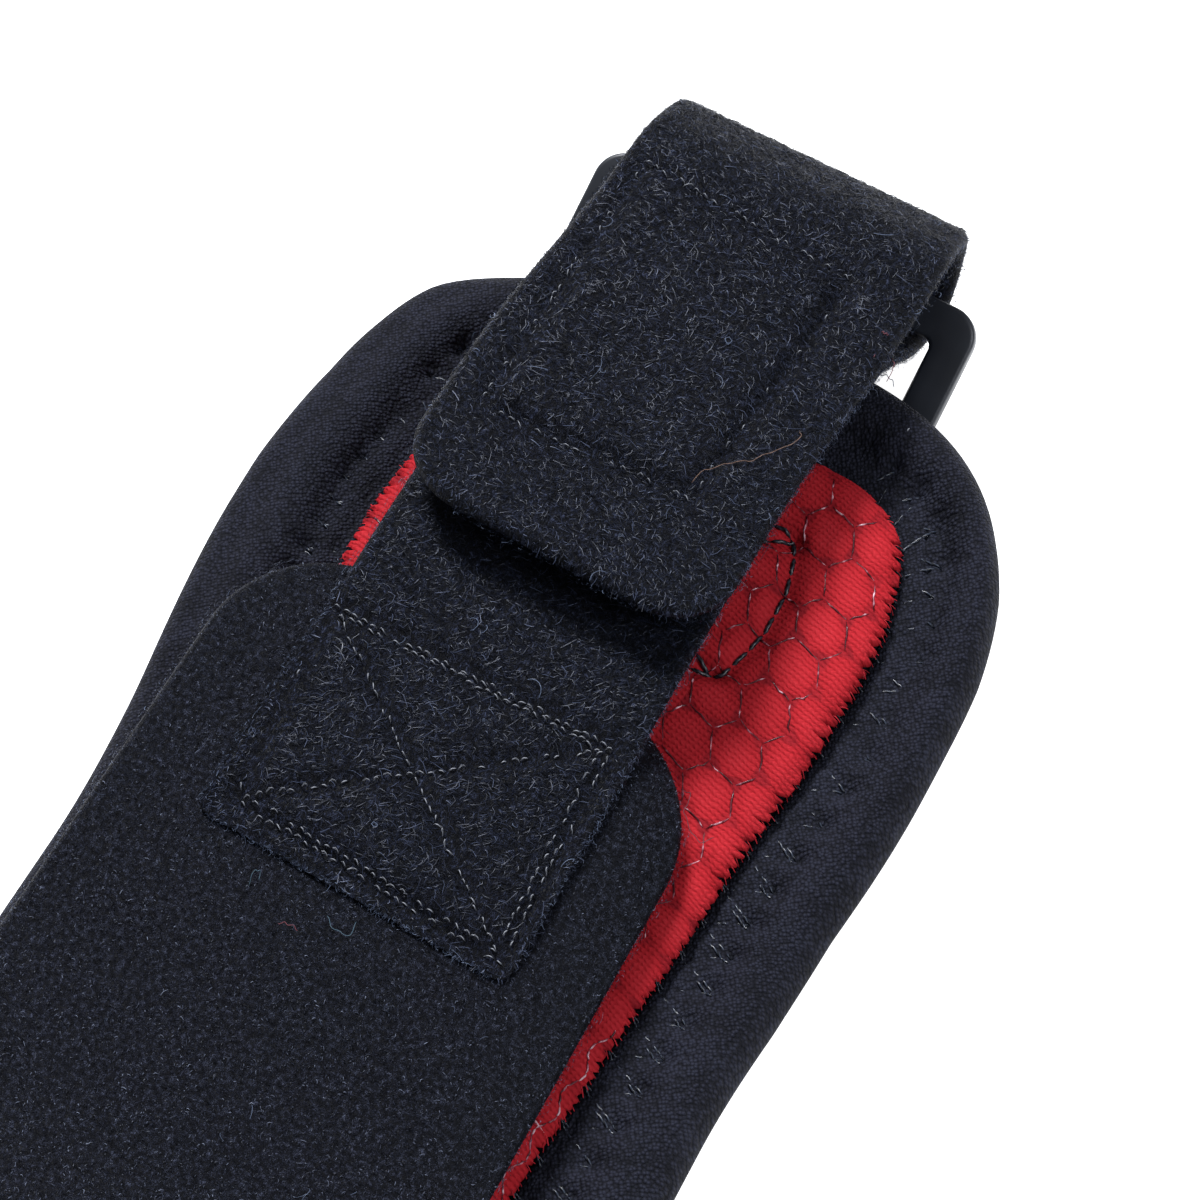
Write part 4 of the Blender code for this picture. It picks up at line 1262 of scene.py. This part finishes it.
def heightsAt(points, spots):
    # height of a cloth's face under places seen from above, from its four nearest points
    heights = []
    for spot in spots:
        apart = (points[:, 0] - spot[0]) ** 2 + (points[:, 1] - spot[1]) ** 2
        near = np.argpartition(apart, 4)[:4]
        share = 1.0 / (apart[near] + 1e-4)
        heights.append((points[near, 2] * share).sum() / share.sum())
    return np.array(heights)


def shrunk(box, inset):
    away = box - box[:-1].mean(0)
    return box[:-1].mean(0) + away * (1.0 - inset / np.linalg.norm(away, axis=1, keepdims=True))


def stitchRow(paths, face, lift, source):
    # separate stitches along paths seen from above, each an arch; many drown in the pile
    size = stitchSizes
    steps = size["steps"]
    points = face.reshape(-1, 3) + (noseTipX, 0.0, 0.0)
    made = []
    for path, shown in paths:
        spots, at = alongPath(path, size["pitch"] / steps)
        heights = heightsAt(points, spots)
        fading = 0.5 + 0.5 * wander(at, 0.0 * at, size["fadeSize"], 31)
        for k in range(0, len(spots) - steps - 1, steps + 1):
            part = slice(k, k + steps)
            if source.random() > shown * (0.7 + 0.6 * fading[k]):
                continue
            arch = np.sin(np.linspace(0.0, math.pi, steps)) * lift * source.uniform(*size["heights"])
            arch = arch - size["sink"]
            places = np.concatenate([spots[part] - (noseTipX, 0.0), (heights[part] + arch)[:, None]], 1)
            tilt = source.normal(0.0, size["tilt"])
            away = places[:, :2] - places[2, :2]
            away = np.stack([away[:, 0] - tilt * away[:, 1], away[:, 1] + tilt * away[:, 0]], 1)
            away = away * source.uniform(*size["lengths"]) + source.normal(0.0, size["shiver"], 2)
            places[:, :2] = places[2, :2] + away
            made.append(places)
    return made


lapRows = int(np.searchsorted(rows, strapSizes["lap"] + stitchSizes["lapBeyond"]))
tabRows = int(np.searchsorted(rows, widening - stitchSizes["tabBefore"]))
doubled = shrunk(wingBox, stitchSizes["doubleInset"])
wingPaths = [(wingBox[0:2], 0.95), (wingBox[1:3], 0.85), (wingBox[2:4], 0.75), (wingBox[3:5], 0.2),
             (doubled[0:2], 0.9), (doubled[1:3], 0.8), (doubled[2:4], 0.75), (wingCross[0], 0.85),
             (wingCross[1], 0.8)]
patchPaths = [(patchBox[0:2], 0.75), (patchBox[1:3], 0.25), (patchBox[2:4], 0.6), (patchBox[3:5], 0.5)]
for name, paths, face, lift, radius in (
        ("wing_box_seam", wingPaths, strapCloth["upper"][:lapRows], 0.85, 0.085),
        ("patch_seam", patchPaths, strapCloth["lower"][tabRows:], 0.75, 0.075)):
    attach(threadTubes(name, stitchRow(paths, face, lift, source), radius, 5, paleThread), "strap")


def growFringe(name, edgePoints, inner, up, lies, between, count, length, source):
    # loose fibres that stand out from a cut edge, lighter than the pile's fibres as painted sheen
    size = fringeSizes
    outward = unit(edgePoints - inner)
    rowsAt = np.interp(source.uniform(*between, count), lies, np.arange(len(edgePoints)))
    low = np.clip(rowsAt.astype(int), 0, len(edgePoints) - 2)
    share = (rowsAt - low)[:, None]
    root = edgePoints[low] * (1 - share) + edgePoints[low + 1] * share
    out = outward[low]
    up = up[low]
    run = np.cross(up, out)
    root = root + up * source.uniform(-size["rootHeight"], size["rootHeight"], (count, 1))
    root = root - out * source.uniform(0.0, size["rootDepth"], (count, 1))
    turn = source.normal(0.0, size["turn"], count)
    rise = source.normal(*size["rise"], count)
    curl = source.normal(0.0, size["curl"], count)
    length = length * np.exp(source.normal(0.0, size["lengthSpread"], count)) / (size["steps"] - 1)
    path = [root]
    for k in range(1, size["steps"]):
        way = turn + curl * k
        direction = out * np.cos(way)[:, None] + run * np.sin(way)[:, None]
        direction = direction + up * (rise * (1 - size["droop"] * k))[:, None]
        path.append(path[-1] + unit(direction) * length[:, None])
    path = np.stack(path, 1)
    tangent = np.gradient(path, axis=1)
    sideways = unit(np.cross(tangent, up[:, None, :] + source.normal(0.0, size["roll"], (count, 1, 3))))
    widths = size["width"] * source.uniform(*size["widths"], count)
    return ribbons(name, path, widths, sideways, source.random(count), fringeMaterial)


print("fringe")
alongStrap = (1.0, strap["length"] - 1.0)
alongWing = (20.0, wing["length"])
for name, slot, cloth, alongside, at, inner, between, count, length in (
        ("strap_fringe_left", "strap", strapCloth, True, -1, -3, alongStrap, 2600, 0.5),
        ("strap_fringe_right", "strap", strapCloth, True, 0, 2, alongStrap, 2600, 0.5),
        ("wing_fringe_left", "wing", wingCloth, True, -1, -3, alongWing, 1300, 0.4),
        ("wing_fringe_right", "wing", wingCloth, True, 0, 2, alongWing, 1300, 0.4),
        ("strap_fringe_end", "strap", strapCloth, False, -1, -4, None, 500, 0.35),
        ("strap_fringe_lap", "strap", strapCloth, False, 0, 3, None, 700, 0.5)):
    points = cloth["upper"]
    normal = gridNormals(points)
    lies = cloth["lay"][1][at]
    if alongside:
        points = points.swapaxes(0, 1)
        normal = normal.swapaxes(0, 1)
        lies = cloth["lay"][0][:, 0]
    attach(growFringe(name, points[at], points[inner], normal[inner], lies, between or (lies[0], lies[-1]),
                      count, length, source), slot)


def strand(points, heights):
    # smooth path through places in the frame, in mm
    points = np.asarray(points, float)
    knots = np.linspace(0.0, 1.0, len(points))
    at = np.linspace(0.0, 1.0, 28)
    path = np.stack([np.interp(at, knots, values) for values in (points[:, 0], points[:, 1], heights)], 1)
    for _ in range(2):
        path[1:-1] = (path[:-2] + 2 * path[1:-1] + path[2:]) / 4
    path[:, 0] += 0.14 * np.sin(at * 4.6 * len(points) + points[0, 0])
    return path - (noseTipX, 0.0, 0.0)


print("lint")
brownLint = [
    ([(52.7, -7.2), (54.4, -7.5), (55.8, -8.8), (57.0, -10.1), (57.9, -11.7), (59.3, -12.6), (60.9, -14.0),
      (63.1, -15.2), (64.0, -14.4)], (22.3, 22.7, 22.5, 22.8, 22.6, 22.9, 22.7, 22.8, 22.4)),
]
redLint = [
    ([(80.4, -16.5), (79.3, -16.7), (77.8, -16.9), (77.5, -17.2)], (19.0, 20.2, 20.6, 19.6)),
    ([(79.7, -17.8), (79.3, -18.6), (78.3, -19.1), (77.3, -19.2), (76.5, -19.0)],
     (18.4, 19.2, 19.6, 19.4, 18.6)),
    ([(81.0, -16.3), (80.6, -16.9), (81.1, -17.1)], (20.8, 21.3, 20.6)),
    ([(-0.2, 20.3), (1.0, 20.8), (2.2, 20.5)], (16.2, 16.6, 16.2)),
    ([(-8.5, 7.6), (-8.3, 6.6), (-8.3, 5.5)], (15.6, 15.9, 15.6)),
    ([(27.0, -19.3), (27.0, -20.2), (25.5, -20.6), (24.7, -20.4), (23.1, -22.0), (21.9, -23.6),
      (23.5, -24.6)], (7.6, 8.0, 8.2, 8.0, 7.9, 8.1, 7.6)),
]
blueLint = [
    ([(74.7, -17.0), (75.3, -17.3), (75.9, -17.7), (76.9, -17.6)], (18.8, 19.4, 19.6, 19.0)),
    ([(-5.7, 3.8), (-6.9, 2.2), (-6.7, 0.5), (-4.9, 0.9)], (15.4, 15.9, 15.9, 15.5)),
    ([(-6.3, 12.3), (-5.0, 12.5), (-4.5, 12.0), (-5.3, 11.6)], (15.6, 16.2, 16.2, 15.7)),
]
paleLint = [
    ([(21.8, 18.0), (21.3, 17.0), (20.1, 16.8)], (17.0, 17.6, 17.0)),
    ([(76.4, -17.6), (77.2, -17.9), (77.4, -18.4), (77.5, -19.2), (77.2, -19.8)],
     (17.6, 18.4, 18.6, 18.3, 17.6)),
    ([(-5.1, 25.3), (-3.7, 24.9), (-2.9, 24.2), (-2.1, 24.0)], (15.6, 16.0, 16.0, 15.6)),
    ([(75.3, -22.5), (75.5, -22.6)], (13.6, 13.6)),
]
for name, strands, dark, light, radius in (
        ("brown_lint", brownLint, "#4a3428", "#75594a", 0.045),
        ("red_lint", redLint, "#4a1a24", "#7a3f48", 0.045),
        ("blue_lint", blueLint, "#22343f", "#456070", 0.045),
        ("pale_lint", paleLint, "#6d7078", "#a9abb0", 0.055)):
    lintMaterial = spunThread(name + "_wool", dark, light, 0.7, 1.2)
    attach(threadTubes(name, [strand(*places) for places in strands], radius, 5, lintMaterial), "strap")


def placePatch(distance, share):
    size = patchSizes
    back = barCentre(1.0).x + ringSizes["bar"] / 2 * math.cos(ringSizes["pitch"]) - strapSizes["tabLength"] \
        + size["setBack"]
    fromEnd = np.minimum(distance, size["length"] - distance)
    side = share * (size["width"] / 2 - cornerInset(fromEnd, size["corner"]))
    return settle(back + distance, side, 0 * distance + size["level"] + size["thickness"] / 2), side


def roundedRectangle(length, width, radius, cornerSteps, sideSteps):
    # counter-clockwise outline, with the same count of points for any size
    corners = [Vector((x * (length / 2 - radius), y * (width / 2 - radius)))
               for x, y in ((1, 1), (-1, 1), (-1, -1), (1, -1))]
    outline = []
    for quarter, centre in enumerate(corners):
        for k in range(cornerSteps + 1):
            angle = math.pi / 2 * (quarter + k / cornerSteps)
            toward = Vector((math.cos(angle), math.sin(angle))) * radius
            outline.append(centre + toward)
        last = outline[-1]
        following = corners[(quarter + 1) % 4] + toward
        outline += [last.lerp(following, k / sideSteps) for k in range(1, sideSteps)]
    return np.array([point[:] for point in outline + outline[:1]])


def ringMatrix():
    near = barCentre(0.0)
    middle = (near + barCentre(1.0)) / 2
    aside = (middle.x - near.x) * math.tan(ringSizes["yaw"])
    turn = Matrix.Rotation(ringSizes["yaw"], 4, "Z")
    roll = Matrix.Rotation(ringSizes["roll"], 4, "X")
    pitch = Matrix.Rotation(-ringSizes["pitch"], 4, "Y")
    return Matrix.Translation((middle.x, ringSizes["side"] - aside, middle.y)) @ turn @ roll @ pitch


def placeWebbing(distance, share):
    # level at its sewn ends, turned with the ring's bar where it holds it
    x, z = onRoute(webbing, distance)
    near = barCentre(0.0).x
    held = smoothstep(x, near - webbingSizes["riseReach"], near - ringSizes["bar"] / 2)
    side = share * webbingSizes["width"] / 2
    return np.stack([x - side * math.tan(ringSizes["yaw"]) * held, side + ringSizes["side"],
                     z + side * math.sin(ringSizes["roll"]) * held], -1), side


print("hook patch, ring and webbing")
size = patchSizes
rows = stations(size["length"], size["corner"], size["corner"], *size["rows"])
patchCloth = slab(rows, crowdedShares(*size["shares"]), placePatch, size)
patchPiece = clothPiece("hook_tape", "hook_patch", patchCloth, webbingMaterial)

size = ringSizes
outer = roundedRectangle(size["length"], size["width"], size["corner"], 12, 14)
inner = roundedRectangle(size["length"] - 2 * size["bar"], size["width"] - 2 * size["bar"],
                         size["innerCorner"], 12, 14)
section = roundedRectangle(size["bar"], size["thickness"], size["edge"], 5, 3)
share = section[None, :, 0, None] / size["bar"] + 0.5
ringPoints = inner[:, None] * (1 - share) + outer[:, None] * share
level = np.broadcast_to(section[None, :, 1, None], ringPoints.shape[:2] + (1,))
place = np.array(ringMatrix())
ringPoints = np.concatenate([ringPoints, level], -1) @ place[:3, :3].T + place[:3, 3]
lay = np.meshgrid(np.arange(len(outer)) * 1.0, section[:, 1], indexing="ij")
attach(shell("moulded_ring", [(ringPoints, lay)], ringMaterial), "ring", replaces=True)

size = webbingSizes
rows = stations(webbing["length"], size["edge"], size["edge"], *size["rows"])
webbingCloth = slab(rows, crowdedShares(*size["shares"]), placeWebbing, size)
webbingPiece = clothPiece("ring_webbing", "ring_loop", webbingCloth, webbingMaterial)

print("studio")
studio = {
    "azimuth": math.radians(27.0), "elevation": math.radians(57.0), "distance": 0.366, "lens": 100.0,
    "target": (aimX * mm, 0.00125, 0.0), "world": 0.29, "floorGlow": 0.95, "lightDistance": 1.3,
}
keyLight = {"turn": -20.0, "elevation": 49.0, "size": 0.4, "power": 25.5, "tone": "#f8faff"}
sideLight = {"turn": 120.0, "elevation": 48.0, "size": 0.6, "power": 7.0, "tone": "#f3f7ff"}
ahead = Vector((math.cos(studio["azimuth"]), math.sin(studio["azimuth"]), 0.0))
right = Vector((math.sin(studio["azimuth"]), -math.cos(studio["azimuth"]), 0.0))
lookDown = ahead * math.cos(studio["elevation"]) - Vector((0.0, 0.0, math.sin(studio["elevation"])))
upward = right.cross(lookDown)
lens = bpy.data.cameras.new("camera")
lens.lens = studio["lens"]
lens.sensor_width = 36.0
lens.clip_start = 0.01
lens.clip_end = 20.0
camera = newObject("camera", lens)
camera.matrix_world = Matrix.Translation(Vector(studio["target"]) - lookDown * studio["distance"]) \
    @ Matrix((right, upward, -lookDown)).transposed().to_4x4()
bpy.context.scene.camera = camera

for name, settings in (("key_softbox", keyLight), ("side_softbox", sideLight)):
    turn = math.radians(settings["turn"])
    elevation = math.radians(settings["elevation"])
    level = ahead * math.cos(turn) + right * math.sin(turn)
    direction = level * math.cos(elevation) + Vector((0.0, 0.0, math.sin(elevation)))
    lamp = bpy.data.lights.new(name, "AREA")
    lamp.shape = "DISK"
    lamp.size = settings["size"]
    lamp.energy = settings["power"]
    lamp.color = colour(settings["tone"])[:3]
    light = newObject(name, lamp)
    light.location = Vector(studio["target"]) + direction.normalized() * studio["lightDistance"]
    light.rotation_euler = direction.to_track_quat("Z", "Y").to_euler()

world = bpy.data.worlds.new("studio")
bpy.context.scene.world = world
world.use_nodes = True
background = world.node_tree.nodes["Background"]
background.inputs["Color"].default_value = colour("#f4f7ff")
background.inputs["Strength"].default_value = studio["world"]

# white acrylic sweep: matt, with a little light of its own so that shadows on it stay pale
floorMaterial, _, _ = newMaterial(
    "white_acrylic_sweep", Roughness=0.9, Base_Color=colour("#f2f2f2"), Emission_Color=(1.0, 1.0, 1.0, 1.0),
    Emission_Strength=studio["floorGlow"])
shape = bmesh.new()
bmesh.ops.create_grid(shape, x_segments=1, y_segments=1, size=3.0)
bmesh.ops.translate(shape, verts=shape.verts, vec=(0.0, 0.0, -gap * mm))
mesh = bpy.data.meshes.new("floor")
shape.to_mesh(mesh)
shape.free()
mesh.materials.append(floorMaterial)
newObject("floor", mesh)

view = bpy.context.scene.view_settings
view.view_transform = "Standard"
view.look = "None"
